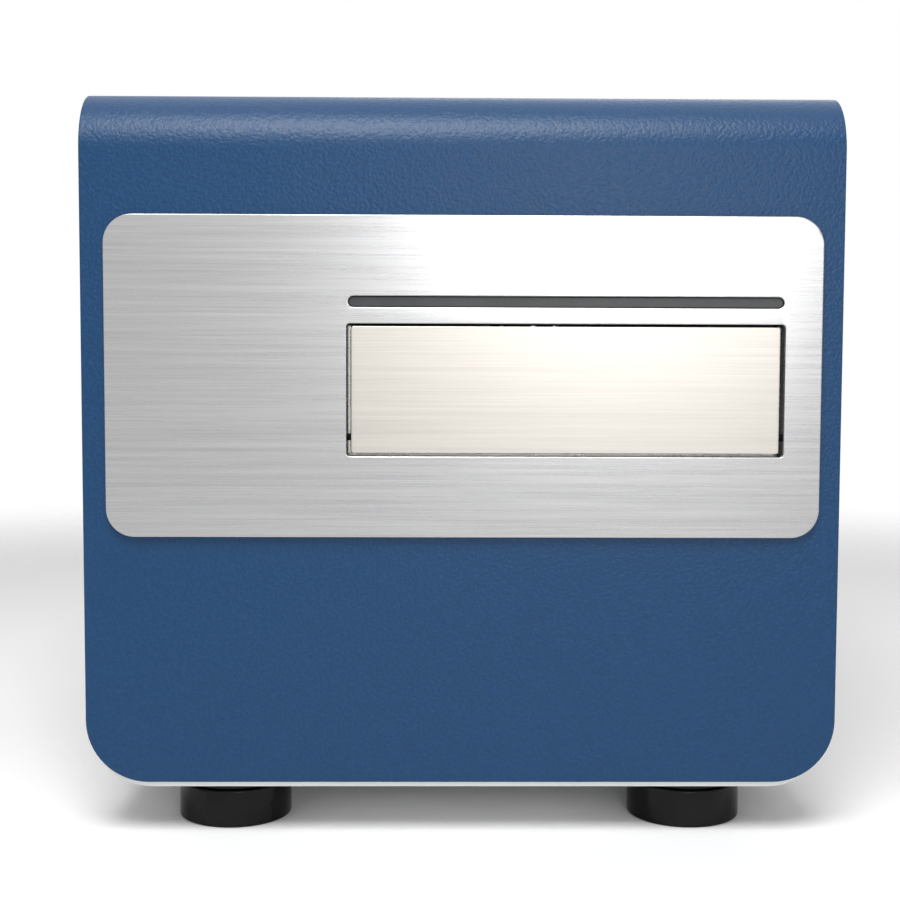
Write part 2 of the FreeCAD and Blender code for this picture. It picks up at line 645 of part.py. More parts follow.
def faceplate():
    """The brushed plate with door opening, light slot and weld studs behind."""
    x0 = PLATE_X - PLATE_W / 2
    top_z = PLATE_BOTTOM_Z + PLATE_H
    plate = slab(x0, x0 + PLATE_W, Y_FACE, Y_FRONT, PLATE_BOTTOM_Z, top_z, PLATE_CORNER_R, Y_AXIS)
    rim = [e for e in plate.Edges if e.BoundBox.YMax < Y_FACE + 1e-6]
    plate = plate.makeChamfer(PLATE_EDGE, rim)
    opening = slab(OPEN_LEFT, OPEN_RIGHT, Y_FACE - 1, Y_FRONT + 1, OPEN_BOTTOM_Z, OPEN_TOP_Z, OPEN_CORNER_R, Y_AXIS)
    slot = slab(OPEN_X - SLOT_W / 2, OPEN_X + SLOT_W / 2, Y_FACE - 1, Y_FRONT + 1,
                SLOT_Z - SLOT_H / 2, SLOT_Z + SLOT_H / 2, SLOT_H / 2 - ROUND_END, Y_AXIS)
    plate = plate.cut(opening).cut(slot)
    save("faceplate", plate)
    studs = [rod(STUD_R, (x, Y_FRONT, z), Y_AXIS, STUD_L) for x, z in stud_places() + tunnel_stud_places()]
    nuts = []
    for x, z in stud_places():
        nuts.append(plate_nut(x, Y_COVER_IN, z))
    for x, z in tunnel_stud_places():
        nuts.append(plate_nut(x, Y_FRONT + TUNNEL_SHEET, z))
    save("faceplate_studs", *studs, *nuts)


def plate_nut(x, y, z):
    """A hexagonal nut on a weld stud."""
    return hexagon(NUT_FLATS, (x, y, z), Y_AXIS, NUT_T).cut(
        rod(STUD_R + RUN_FIT, (x, y - 1, z), Y_AXIS, NUT_T + 2))


def tunnel_stud_places():
    """X and Z of the studs that hold the door frame on the faceplate."""
    low_z = TUNNEL_FLOOR_Z - TUNNEL_SHEET - TUNNEL_FLANGE / 2
    places = [(OPEN_X + share * OPEN_W / 2, low_z) for share in (-STUD_SPREAD, 0.0, STUD_SPREAD)]
    side_x = OPEN_RIGHT + TUNNEL_T + TUNNEL_EAR / 2
    return places + [(side_x, OPEN_BOTTOM_Z + OPEN_H * share) for share in (0.2, 0.8)]


def door_frame():
    """The short tunnel behind the opening that carries the hinge bores."""
    x0, x1 = OPEN_LEFT, OPEN_RIGHT
    back = Y_FRONT + TUNNEL_DEPTH
    outer_x0, outer_x1 = x0 - TUNNEL_T, x1 + TUNNEL_T
    z0, z1 = TUNNEL_FLOOR_Z - TUNNEL_SHEET, TUNNEL_ROOF_Z + TUNNEL_SHEET
    box = block(outer_x0, outer_x1, Y_FRONT, back, z0, z1)
    box = box.cut(block(x0, x1, Y_FRONT - 1, back + 1, TUNNEL_FLOOR_Z, TUNNEL_ROOF_Z))
    cheek = block(outer_x0, x0, back - 1, Y_FRONT + TUNNEL_CHEEK_DEPTH, HINGE_Z - CHEEK_HALF, HINGE_Z + CHEEK_HALF)
    flange = block(outer_x0, outer_x1, Y_FRONT, Y_FRONT + TUNNEL_SHEET, z0 - TUNNEL_FLANGE, z0 + 1)
    side = block(outer_x1 - 1, outer_x1 + TUNNEL_EAR - 1, Y_FRONT, Y_FRONT + TUNNEL_SHEET, z0 - TUNNEL_FLANGE, z1)
    frame = fuse(box, cheek, flange, side)
    frame = frame.cut(rod(HINGE_R + RUN_FIT, (outer_x0 - 1, HINGE_Y, HINGE_Z), X_AXIS, TUNNEL_T + 2))
    frame = frame.cut(rod(HINGE_R + RUN_FIT, (x1 - 1, HINGE_Y, HINGE_Z), X_AXIS, TUNNEL_T + 2))
    for x, z in tunnel_stud_places():
        frame = frame.cut(rod(STUD_R + BOLT_ROOM, (x, Y_FRONT - 1, z), Y_AXIS, TUNNEL_SHEET + 2))
    save("door_frame", frame)


def door_leaf():
    """The flap: a flat leaf with two folded ears round the hinge axis and a stiffening fold along its top."""
    y0 = deep(DOOR_RECESS)
    y1 = y0 + DOOR_T
    leaf = slab(DOOR_LEFT, DOOR_RIGHT, y0, y1, DOOR_BOTTOM_Z, DOOR_TOP_Z, DOOR_CORNER_R, Y_AXIS)
    fold = block(DOOR_LEFT + FOLD_INSET, DOOR_RIGHT - FOLD_INSET, y1 - DOOR_RECESS, y1 + FOLD_W,
                 DOOR_TOP_Z - FOLD_DROP - TAB_T, DOOR_TOP_Z - FOLD_DROP)
    ears = []
    for x in (DOOR_LEFT, DOOR_RIGHT - TAB_T):
        ear = block(x, x + TAB_T, y1 - 0.5, HINGE_Y, HINGE_Z - TAB_R, HINGE_Z + TAB_RISE)
        ears.append(ear.fuse(block(x, x + TAB_T, y1, HINGE_Y + 1, HINGE_Z, HINGE_Z + TAB_RISE)))
        ears.append(rod(TAB_R, (x, HINGE_Y, HINGE_Z), X_AXIS, TAB_T))
    solid = fuse(leaf, fold, *ears)
    for x in (DOOR_LEFT, DOOR_RIGHT - TAB_T):
        solid = solid.cut(rod(HINGE_R, (x - 1, HINGE_Y, HINGE_Z), X_AXIS, TAB_T + 2))
    save("door_leaf", solid)
    left = rod(HINGE_R, (GEAR_X0, HINGE_Y, HINGE_Z), X_AXIS, DOOR_LEFT + TAB_T - GEAR_X0)
    right = rod(HINGE_R, (DOOR_RIGHT - TAB_T, HINGE_Y, HINGE_Z), X_AXIS, TAB_T + DOOR_SIDE_GAP + TUNNEL_T)
    save("door_hinge_pins", left, right)


def involute(base_r, radius):
    """The turn of an involute, in radians, where it reaches a radius."""
    lean = math.acos(min(1.0, base_r / radius))
    return math.tan(lean) - lean


def tooth_outline(teeth, centre, thin):
    """One tooth as radius and angle pairs, from one root to the other, round a centre angle."""
    pitch_r = MODULE * teeth / 2
    base_r = pitch_r * math.cos(math.radians(PRESSURE_ANGLE))
    root_r = pitch_r - 1.25 * MODULE
    tip_r = pitch_r + MODULE
    half = math.pi / (2 * teeth) - thin / (2 * pitch_r) + involute(base_r, pitch_r)
    low_r = max(base_r, root_r)
    flank = [low_r + (tip_r - low_r) * share for share in (0.0, 0.35, 0.7, 1.0)]
    rising = [(r, centre - half + involute(base_r, r)) for r in flank]
    falling = [(r, centre + half - involute(base_r, r)) for r in reversed(flank)]
    foot_r = root_r if root_r < low_r - 1e-6 else low_r
    if foot_r < low_r:
        rising = [(foot_r, rising[0][1])] + rising
        falling = falling + [(foot_r, falling[-1][1])]
    return rising + falling


def gear_solid(outline, x0, width, y, z):
    """A flat gear of radius and angle pairs round an axis along X."""
    points = [(x0, y + r * math.cos(a), z + r * math.sin(a)) for r, a in outline]
    return prism(points, V(width, 0, 0))


def door_sector_gear():
    """The involute sector on the left hinge pin, a quarter turn of teeth on a webbed arm."""
    step = 2 * math.pi / SECTOR_TEETH
    outline = []
    for k in range(SECTOR_CUT):
        outline += tooth_outline(SECTOR_TEETH, -(SECTOR_CUT - 1 - k) * step, BACKLASH)
    low = outline[0][1]
    high = outline[-1][1]
    rim_r = SECTOR_R - 1.5 * MODULE
    arm_r = SECTOR_HUB_R * 1.2
    outline = [(arm_r, low), (rim_r, low)] + outline + [(rim_r, high), (arm_r, high)]
    sector = gear_solid(outline, GEAR_X0, GEAR_W, HINGE_Y, HINGE_Z)
    hub = rod(SECTOR_HUB_R, (GEAR_X0, HINGE_Y, HINGE_Z), X_AXIS, GEAR_W)
    sector = fuse(sector, hub)
    for lean in (-SECTOR_HOLE_TURN, SECTOR_HOLE_TURN):
        angle = lean - math.pi / 4
        spot = (GEAR_X0, HINGE_Y + SECTOR_HOLE_AT * math.cos(angle), HINGE_Z + SECTOR_HOLE_AT * math.sin(angle))
        sector = sector.cut(rod(SECTOR_HOLE_R, spot, X_AXIS, GEAR_W))
    save("door_sector_gear", sector.cut(rod(HINGE_R, (GEAR_X0 - 1, HINGE_Y, HINGE_Z), X_AXIS, GEAR_W + 2)))


def door_pinion():
    """The motor's pinion, in mesh with the sector, on its shaft."""
    outline = []
    step = 2 * math.pi / PINION_TEETH
    for k in range(PINION_TEETH):
        outline += tooth_outline(PINION_TEETH, math.pi + (k + 0.5) * step, BACKLASH)
    pinion = gear_solid(outline, GEAR_X0, GEAR_W, PINION_Y, HINGE_Z)
    reach = MOTOR_PLATE_T + GAP + MOTOR_WELL / 2
    shaft = rod(PINION_SHAFT_R, (GEAR_X0 - reach, PINION_Y, HINGE_Z), X_AXIS, reach + GEAR_W)
    save("door_pinion", fuse(pinion, shaft))


def door_motor():
    """The gearmotor of the door, its bracket plate, and two posts to the tunnel's cheek."""
    plate_x = GEAR_X0 - GAP - MOTOR_PLATE_T
    plate = slab(plate_x, plate_x + MOTOR_PLATE_T, PINION_Y - MOTOR_PLATE_REACH, Y_FRONT + TUNNEL_CHEEK_DEPTH,
                 HINGE_Z - CHEEK_HALF, HINGE_Z + CHEEK_HALF, CHEEK_HALF / 5, X_AXIS)
    posts = []
    for z in (HINGE_Z - CHEEK_HALF + POST_INSET, HINGE_Z + CHEEK_HALF - POST_INSET):
        y = Y_FRONT + TUNNEL_CHEEK_DEPTH - POST_INSET
        posts.append(rod(POST_R, (plate_x, y, z), X_AXIS, OPEN_LEFT - TUNNEL_T - plate_x))
    bracket = fuse(plate, *posts)
    bracket = bracket.cut(rod(PINION_SHAFT_R + RUN_FIT, (plate_x, PINION_Y, HINGE_Z), X_AXIS, MOTOR_PLATE_T))
    save("door_motor_bracket", bracket)
    can = rod(MOTOR_R, (plate_x - MOTOR_L, PINION_Y, HINGE_Z), X_AXIS, MOTOR_L)
    step_x = plate_x - MOTOR_STEP_AT
    step = tube(MOTOR_R + MOTOR_STEP_H, MOTOR_R - 1, (step_x, PINION_Y, HINGE_Z), X_AXIS, MOTOR_STEP_W)
    end = rod(MOTOR_BOSS_R, (plate_x - MOTOR_L - MOTOR_BOSS_L, PINION_Y, HINGE_Z), X_AXIS, MOTOR_BOSS_L)
    motor = fuse(can, step, end)
    well = rod(PINION_SHAFT_R + RUN_FIT, (plate_x - MOTOR_WELL, PINION_Y, HINGE_Z), X_AXIS, MOTOR_WELL)
    save("door_motor", motor.cut(well))


def light_bar():
    """The smoked lens in the slot and the strip of lamps behind it."""
    half = SLOT_W / 2 - GAP
    high = SLOT_H / 2 - GAP
    y0 = deep(LENS_CREST)
    nose = slab(OPEN_X - half, OPEN_X + half, y0, Y_FRONT + LENS_CREST / 2, SLOT_Z - high, SLOT_Z + high,
                high - ROUND_END, Y_AXIS)
    foot_z = SLOT_Z + SLOT_H / 2 + LENS_FOOT_RISE
    base_z = TUNNEL_ROOF_Z + TUNNEL_SHEET + GAP
    base = block(OPEN_X - half - LENS_FOOT, OPEN_X + half + LENS_FOOT, Y_FRONT, Y_FRONT + LENS_DEPTH,
                 base_z, foot_z)
    save("light_bar_lens", fuse(nose, base))
    save("light_bar_board", block(OPEN_X - half - LENS_FOOT, OPEN_X + half + LENS_FOOT, Y_FRONT + LENS_DEPTH,
                                  Y_FRONT + LENS_DEPTH + BOARD_T, base_z, foot_z))


# Base plate and the two arched side frames that carry the stage
BASE_Z = 47.0
BASE_T = 10.0
BASE_CORNER_R = 6.0
POCKET_EDGE = 16.0
POCKET_FOOT = 18.0
POCKET_ROOF = 4.0
BASE_LEFT = 114.55
BASE_RIGHT = 119.45
BASE_D0 = 26.0
BASE_D1 = 372.0
BASE_LEG_R = 7.0
BASE_LEG_INSET = 28.0
RAIL_SPREAD = 78.0
FRAME_T = 12.0
FRAME_D0 = 30.0
FRAME_D1 = 325.0
FRAME_LEG_FRONT = 45.0
FRAME_LEG_REAR = 95.0
FRAME_BEAM = 14.0
ARCH_R = 12.0
RAIL_W = 9.0
RAIL_H = 6.5
BLOCK_W = 20.0
BLOCK_L = 26.0
CARRIAGE_RISE = 10.0

# Stage plate with the plate nest
STAGE_RISE = 25.0
STAGE_T = 12.0
STAGE_W = 150.0
STAGE_D0 = 96.0
NOSE_L = 115.0
STAGE_D1 = 305.0
NEST_W = 128.2
NEST_D = 86.0
NEST_DEPTH = 6.0
NEST_LEDGE = 7.0
NEST_CORNER_R = 3.2
STAGE_CORNER_R = 5.0
TAIL_CORNER_R = 4.0
NECK_INSET = 22.0
GRIP_R = 14.0
GRIP_WALL = 2.0
TAIL_W = 182.0
TAIL_D0 = 229.0
BLOCK_D = (236.0, 278.0)

# Stage screw, nut and motor
SCREW_ROD_R = 4.0
STAGE_SCREW_OUT = 11.95
STAGE_SCREW_Z = 190.0
BEARING_T = 10.0
BEARING_W = 22.0
STAGE_SCREW_D0 = 36.0
STAGE_SCREW_D1 = 322.0
NUT_BLOCK_L = 16.0
NUT_D = 262.0
COUPLER_R = 8.0
COUPLER_L = 20.0
STAGE_MOTOR_SIZE = 35.0
STAGE_MOTOR_L = 30.0
STAND_LEG_T = 8.0
STAND_PAD_W = 28.0
STAND_PAD_T = 4.5

# Lamp bridge over the stage
BRIDGE_D0 = 90.0
BRIDGE_D1 = 160.0
BRIDGE_Z = 262.0
BRIDGE_T = 4.0
BRIDGE_OUT_LEFT = 20.5
BRIDGE_OUT_RIGHT = 24.0
LAMP_T = 8.0
LAMP_W = 120.0
LAMP_INSET = 4.0
BRIDGE_LEG_IN = 18.0
BRIDGE_TOE = 5.0

STAGE_X = OPEN_X
BASE_X0 = STAGE_X - BASE_LEFT
BASE_X1 = STAGE_X + BASE_RIGHT
BASE_TOP = BASE_Z + BASE_T
STAGE_Z = HINGE_Z + STAGE_RISE
FRAME_TOP = STAGE_Z - CARRIAGE_RISE
FRAME_XS = (STAGE_X - RAIL_SPREAD, STAGE_X + RAIL_SPREAD)
STAGE_SCREW_X = FRAME_XS[1] + FRAME_T / 2 + STAGE_SCREW_OUT


def base_plate():
    """The machined plate on turned legs that carries stage and optics, clear of the tray."""
    plate = slab(BASE_X0, BASE_X1, deep(BASE_D0), deep(BASE_D1), BASE_Z, BASE_TOP, BASE_CORNER_R, Z_AXIS)
    legs = []
    for x in (BASE_X0 + BASE_LEG_INSET, BASE_X1 - BASE_LEG_INSET):
        for d in (BASE_D0 + BASE_LEG_INSET, BASE_D1 - BASE_LEG_INSET):
            legs.append(rod(BASE_LEG_R, (x, deep(d), TRAY_FLOOR), Z_AXIS, BASE_Z - TRAY_FLOOR + 1))
    save("base_plate", fuse(plate, *legs))


def side_frame(x):
    """One arched frame: two legs and a beam, open between them for the optics."""
    x0, x1 = x - FRAME_T / 2, x + FRAME_T / 2
    frame = block(x0, x1, deep(FRAME_D0), deep(FRAME_D1), BASE_TOP, FRAME_TOP)
    y0, y1 = deep(FRAME_D0 + FRAME_LEG_FRONT), deep(FRAME_D1 - FRAME_LEG_REAR)
    arch = block(x0 - 1, x1 + 1, y0, y1, BASE_TOP - ARCH_R - 1, FRAME_TOP - FRAME_BEAM)
    frame = frame.cut(rounded(arch, ARCH_R, X_AXIS))
    pocket = slab(x0, x1, y1 + POCKET_EDGE, deep(FRAME_D1 - POCKET_EDGE), BASE_TOP + POCKET_FOOT,
                  FRAME_TOP - FRAME_BEAM - POCKET_ROOF, ARCH_R, X_AXIS)
    return frame.cut(pocket)


def stage_frames():
    """Both side frames and the rails on top of them."""
    for name, x in zip(("left", "right"), FRAME_XS):
        save("side_frame_" + name, side_frame(x))
    rails = [block(x - RAIL_W / 2, x + RAIL_W / 2, deep(FRAME_D0 + 1), deep(FRAME_D1 - 1),
                   FRAME_TOP, FRAME_TOP + RAIL_H) for x in FRAME_XS]
    save("stage_rails", *rails)


def rail_block(cx, cy, z, along):
    """A bearing block that straddles a rail with running room."""
    a, b = (BLOCK_W / 2, BLOCK_L / 2) if along is Y_AXIS else (BLOCK_L / 2, BLOCK_W / 2)
    body = block(cx - a, cx + a, cy - b, cy + b, z + 2.0, z + CARRIAGE_RISE)
    room = RAIL_W / 2 + RUN_FIT
    if along is Y_AXIS:
        groove = block(cx - room, cx + room, cy - b - 1, cy + b + 1, z, z + RAIL_H + RUN_FIT)
    else:
        groove = block(cx - a - 1, cx + a + 1, cy - room, cy + room, z, z + RAIL_H + RUN_FIT)
    return body.cut(groove)


def stage():
    """The stage plate with nest and tail, its four blocks and the nut that hangs from the tail."""
    x0, x1 = STAGE_X - STAGE_W / 2, STAGE_X + STAGE_W / 2
    top = STAGE_Z + STAGE_T
    nose = slab(x0, x1, deep(STAGE_D0), deep(STAGE_D0 + NOSE_L), STAGE_Z, top, STAGE_CORNER_R, Z_AXIS)
    neck = block(x0 + NECK_INSET, x1 - NECK_INSET, deep(STAGE_D0 + NOSE_L - 2 * STAGE_CORNER_R),
                 deep(TAIL_D0 + STAGE_CORNER_R), STAGE_Z, top)
    tail_x1 = STAGE_SCREW_X + BEARING_W / 2
    tail = slab(STAGE_X - TAIL_W / 2, tail_x1, deep(TAIL_D0), deep(STAGE_D1), STAGE_Z, top, TAIL_CORNER_R, Z_AXIS)
    plate = fuse(nose, neck, tail)
    rim = (NOSE_L - NEST_D) / 2
    y0 = deep(STAGE_D0 + rim)
    nest = slab(STAGE_X - NEST_W / 2, STAGE_X + NEST_W / 2, y0, y0 + NEST_D,
                top - NEST_DEPTH, top + 1, NEST_CORNER_R, Z_AXIS)
    window = slab(STAGE_X - NEST_W / 2 + NEST_LEDGE, STAGE_X + NEST_W / 2 - NEST_LEDGE, y0 + NEST_LEDGE,
                  y0 + NEST_D - NEST_LEDGE, STAGE_Z - 1, top, NEST_CORNER_R, Z_AXIS)
    plate = plate.cut(nest).cut(window)
    for side in (-1, 1):
        y = y0 + NEST_D / 2
        grip = rod(GRIP_R, (STAGE_X + side * (NEST_W / 2 + GRIP_WALL), y, top - NEST_DEPTH), Z_AXIS, NEST_DEPTH)
        plate = plate.cut(grip.common(block(x0 + GRIP_WALL, x1 - GRIP_WALL, y - GRIP_R, y + GRIP_R, 0, HEIGHT)))
    save("stage_plate", plate)
    blocks = [rail_block(x, deep(d + BLOCK_L / 2), FRAME_TOP, Y_AXIS) for x in FRAME_XS for d in BLOCK_D]
    save("stage_blocks", *blocks)
    half = BEARING_W / 2
    nut = slab(STAGE_SCREW_X - half + GAP, STAGE_SCREW_X + half, deep(NUT_D), deep(NUT_D + NUT_BLOCK_L),
               STAGE_SCREW_Z - half, STAGE_Z, 2.0, Y_AXIS)
    save("stage_nut", nut.cut(rod(SCREW_ROD_R + RUN_FIT, (STAGE_SCREW_X, deep(NUT_D) - 1, STAGE_SCREW_Z),
                                  Y_AXIS, NUT_BLOCK_L + 2)))


def stage_drive():
    """Bearings on the right frame, the screw with its coupling, and the motor on its bracket."""
    frame_face = FRAME_XS[1] + FRAME_T / 2
    half = BEARING_W / 2
    bearings = []
    for d in (STAGE_SCREW_D0, STAGE_SCREW_D1 - BEARING_T):
        body = block(frame_face, STAGE_SCREW_X + half, deep(d), deep(d + BEARING_T),
                     STAGE_SCREW_Z - half, STAGE_SCREW_Z + half)
        bearings.append(body.cut(rod(SCREW_ROD_R + RUN_FIT, (STAGE_SCREW_X, deep(d) - 1, STAGE_SCREW_Z),
                                     Y_AXIS, BEARING_T + 2)))
    save("stage_bearings", *bearings)
    length = STAGE_SCREW_D1 + COUPLER_L + MOTOR_WELL - 2 - STAGE_SCREW_D0
    screw = rod(SCREW_ROD_R, (STAGE_SCREW_X, deep(STAGE_SCREW_D0), STAGE_SCREW_Z), Y_AXIS, length)
    coupler = rod(COUPLER_R, (STAGE_SCREW_X, deep(STAGE_SCREW_D1) + GAP, STAGE_SCREW_Z), Y_AXIS, COUPLER_L)
    save("stage_screw", fuse(screw, coupler))
    motor_y = deep(STAGE_SCREW_D1) + COUPLER_L + 2 * GAP
    size = STAGE_MOTOR_SIZE / 2
    body = slab(STAGE_SCREW_X - size, STAGE_SCREW_X + size, motor_y, motor_y + STAGE_MOTOR_L,
                STAGE_SCREW_Z - size, STAGE_SCREW_Z + size, size / 5, Y_AXIS)
    body = body.cut(rod(SCREW_ROD_R + RUN_FIT, (STAGE_SCREW_X, motor_y, STAGE_SCREW_Z), Y_AXIS, MOTOR_WELL - 1))
    save("stage_motor", body)
    leg_z = STAGE_SCREW_Z - size
    wide = STAND_LEG_T
    pad = STAND_PAD_W / 2
    leg = block(STAGE_SCREW_X - wide, STAGE_SCREW_X + wide, motor_y + wide / 2, motor_y + 1.5 * wide,
                BASE_TOP, leg_z)
    foot_pad = block(STAGE_SCREW_X - pad, STAGE_SCREW_X + pad, motor_y - wide, motor_y + 3 * wide,
                     BASE_TOP, BASE_TOP + STAND_PAD_T)
    shelf = block(STAGE_SCREW_X - pad, STAGE_SCREW_X + pad, motor_y, motor_y + STAGE_MOTOR_L - 2,
                  leg_z - STAND_PAD_T, leg_z)
    return fuse(leg, foot_pad, shelf)


def lamp_bridge():
    """A sheet bridge over the stage on two legs, with the flat lamp under it."""
    xs = (FRAME_XS[0] - FRAME_T / 2 - BRIDGE_OUT_LEFT, FRAME_XS[1] + FRAME_T / 2 + BRIDGE_OUT_RIGHT)
    y0, y1 = deep(BRIDGE_D0), deep(BRIDGE_D1)
    top = block(xs[0] - BRIDGE_T, xs[1] + BRIDGE_T, y0, y1, BRIDGE_Z, BRIDGE_Z + BRIDGE_T)
    legs = []
    for x in (xs[0] - BRIDGE_T, xs[1]):
        legs.append(block(x, x + BRIDGE_T, y0 + BRIDGE_LEG_IN, y1 - BRIDGE_LEG_IN, BASE_TOP, BRIDGE_Z))
        legs.append(block(x - BRIDGE_TOE, x + BRIDGE_T, y0 + BRIDGE_LEG_IN, y1 - BRIDGE_LEG_IN,
                          BASE_TOP, BASE_TOP + BRIDGE_T))
    save("lamp_bridge", fuse(top, *legs))
    save("lamp_panel", slab(STAGE_X - LAMP_W / 2, STAGE_X + LAMP_W / 2, y0 + LAMP_INSET, y1 - LAMP_INSET,
                            BRIDGE_Z - LAMP_T, BRIDGE_Z, LAMP_INSET, Z_AXIS))


# Optics carriage on two cross rails
OPTICS_D = 124.0
CROSS_RAIL_D = (95.0, 178.0)
CROSS_RAIL_HALF = 104.0
OPT_PLATE_W = 90.0
OPT_PLATE_D0 = 82.0
OPT_PLATE_D1 = 208.0
OPT_PLATE_T = 8.0
COLUMN_D0 = 200.0
COLUMN_T = 8.0
COLUMN_WEB = 14.0
COLUMN_FOOT_H = 10.0
COLUMN_HEAD_H = 24.0
SHELF_W = 24.0
SHELF_T = 8.0
SHELF_DROP = 2.0
CAM_SHELF_RISE = 8.0
RIB_T = 6.0
RIB_L = 26.0
RIB_H = 40.0
COLUMN_W = 56.0
COLUMN_TOP = 188.0
CAMERA_SIZE = 36.0
CAMERA_SEAT_H = 3.0
CAMERA_H = 40.0
TUBE_R = 12.5
TUBE_H = 12.0
TUBE_WALL = 3.0
SOFT_CORNER_R = 2.0
CAMERA_FINS = 4
CAMERA_FIN_Z = 6.0
CAMERA_FIN_PITCH = 7.0
CAMERA_FIN_GAP = 3.0
CAMERA_FIN_DEPTH = 2.5
CAMERA_SEAT_IN = 4.0
WHEEL_R = 42.0
WHEEL_T = 6.0
WHEEL_HOLE_R = 11.0
WHEEL_OFFSET = 30.0
WHEEL_GAP = 1.5
FILTERS = 5
GLASS_T = 3.0
WHEEL_MOTOR_SIZE = 20.0
WHEEL_MOTOR_H = 28.0
WHEEL_SHAFT_R = 2.0
WHEEL_SHAFT_L = 9.0
GLASS_LEDGE = 1.2
GLASS_SEAT = 1.5
CUBE_SIZE = 36.0
CUBE_H = 28.0
CUBE_PORT_R = 9.0
LED_R = 13.0
LED_BODY_R = 10.0
LED_FINS = 4
LED_FIN_T = 1.6
LED_FIN_PITCH = 4.0
LED_L = 22.0
FOCUS_TRAVEL = 2.0
FOCUS_CLEAR = 3.0
OBJECTIVE_R = 13.0
FOCUS_ARM_T = 7.0
FOCUS_ARM_W = 24.0
EYE_WALL = 4.0
OBJECTIVE_LEDGE = 3.0
BARREL_SHARE = 0.6
KNURL_H = 5.0
FOCUS_SCREW_IN = 7.0
CROSS_SCREW_D = 216.0
CROSS_SCREW_R = 3.0
CROSS_NUT_L = 14.0
CROSS_MOTOR_SIZE = 28.0
CROSS_MOTOR_L = 32.0
CROSS_COUPLER_L = 14.0
CROSS_COUPLER_R = 6.0
CROSS_BEARING_T = 8.0
CROSS_BEARING_W = 20.0
FOCUS_SCREW_R = 2.0
FOCUS_SCREW_OUT = 14.0
FOCUS_MOTOR_SIZE = 16.0

CROSS_RAIL_TOP = BASE_TOP + RAIL_H
OPT_PLATE_Z = BASE_TOP + CARRIAGE_RISE
OPT_TOP = OPT_PLATE_Z + OPT_PLATE_T
CAMERA_Z = OPT_TOP + CAMERA_SEAT_H
TUBE_Z = CAMERA_Z + CAMERA_H
WHEEL_Z = TUBE_Z + TUBE_H + WHEEL_GAP
CUBE_Z = WHEEL_Z + WHEEL_T + WHEEL_GAP
OBJECTIVE_Z = CUBE_Z + CUBE_H + FOCUS_CLEAR + FOCUS_TRAVEL
OPTICS_Y = deep(OPTICS_D)
WHEEL_Y = OPTICS_Y + WHEEL_OFFSET
CROSS_SCREW_Z = OPT_PLATE_Z + 6.0
SHELF_Z1 = CUBE_Z + CUBE_H - SHELF_DROP
SHELF_Z0 = SHELF_Z1 - SHELF_T
FOCUS_SCREW_Y = deep(COLUMN_D0 - FOCUS_SCREW_OUT)


def cross_rails():
    """The two rails of the optics carriage, across the base plate."""
    rails = []
    for d in CROSS_RAIL_D:
        y = deep(d)
        rails.append(block(STAGE_X - CROSS_RAIL_HALF, STAGE_X + CROSS_RAIL_HALF, y - RAIL_W / 2, y + RAIL_W / 2,
                           BASE_TOP, CROSS_RAIL_TOP))
    save("cross_rails", *rails)


def optics_carriage():
    """The carriage plate with its nut boss, blocks, column and shelves."""
    x0, x1 = STAGE_X - OPT_PLATE_W / 2, STAGE_X + OPT_PLATE_W / 2
    plate = slab(x0, x1, deep(OPT_PLATE_D0), deep(OPT_PLATE_D1), OPT_PLATE_Z, OPT_TOP, 4.0, Z_AXIS)
    boss = block(STAGE_X - CROSS_NUT_L / 2, STAGE_X + CROSS_NUT_L / 2, deep(OPT_PLATE_D1) - 1,
                 deep(CROSS_SCREW_D + 8), OPT_PLATE_Z - 2, OPT_TOP)
    boss_bore = rod(CROSS_SCREW_R + RUN_FIT, (x0, deep(CROSS_SCREW_D), CROSS_SCREW_Z), X_AXIS, OPT_PLATE_W)
    save("optics_plate", fuse(plate, boss).cut(boss_bore))
    blocks = []
    for d in CROSS_RAIL_D:
        for x in (x0 + BLOCK_L / 2 + 4, x1 - BLOCK_L / 2 - 4):
            blocks.append(rail_block(x, deep(d), BASE_TOP, X_AXIS))
    save("optics_blocks", *blocks)
    half = COLUMN_W / 2
    column_y = deep(COLUMN_D0)
    column = block(STAGE_X - half, STAGE_X + half, column_y, column_y + COLUMN_T, OPT_TOP, COLUMN_TOP)
    column = column.cut(slab(STAGE_X - half + COLUMN_WEB, STAGE_X + half - COLUMN_WEB, column_y, column_y + COLUMN_T,
                             OPT_TOP + COLUMN_FOOT_H, WHEEL_Z - COLUMN_HEAD_H, COLUMN_WEB / 2, Y_AXIS))
    shelf = SHELF_W / 2
    cam_shelf = block(STAGE_X - shelf, STAGE_X + shelf, OPTICS_Y + CAMERA_SIZE / 2, column_y,
                      CAMERA_Z + CAM_SHELF_RISE, CAMERA_Z + 2 * CAM_SHELF_RISE)
    cube_shelf = block(STAGE_X - shelf, STAGE_X + shelf, OPTICS_Y + CUBE_SIZE / 2, column_y, SHELF_Z0, SHELF_Z1)
    ribs = []
    for x in (STAGE_X - half, STAGE_X + half - RIB_T):
        ribs.append(prism([(x, column_y, OPT_TOP), (x, column_y - RIB_L, OPT_TOP), (x, column_y, OPT_TOP + RIB_H)],
                          V(RIB_T, 0, 0)))
    screw_hole = rod(FOCUS_SCREW_R + RUN_FIT, (STAGE_X, FOCUS_SCREW_Y, SHELF_Z0), Z_AXIS, SHELF_Z1 - SHELF_Z0)
    save("optics_column", fuse(column, cam_shelf, cube_shelf, *ribs).cut(screw_hole))


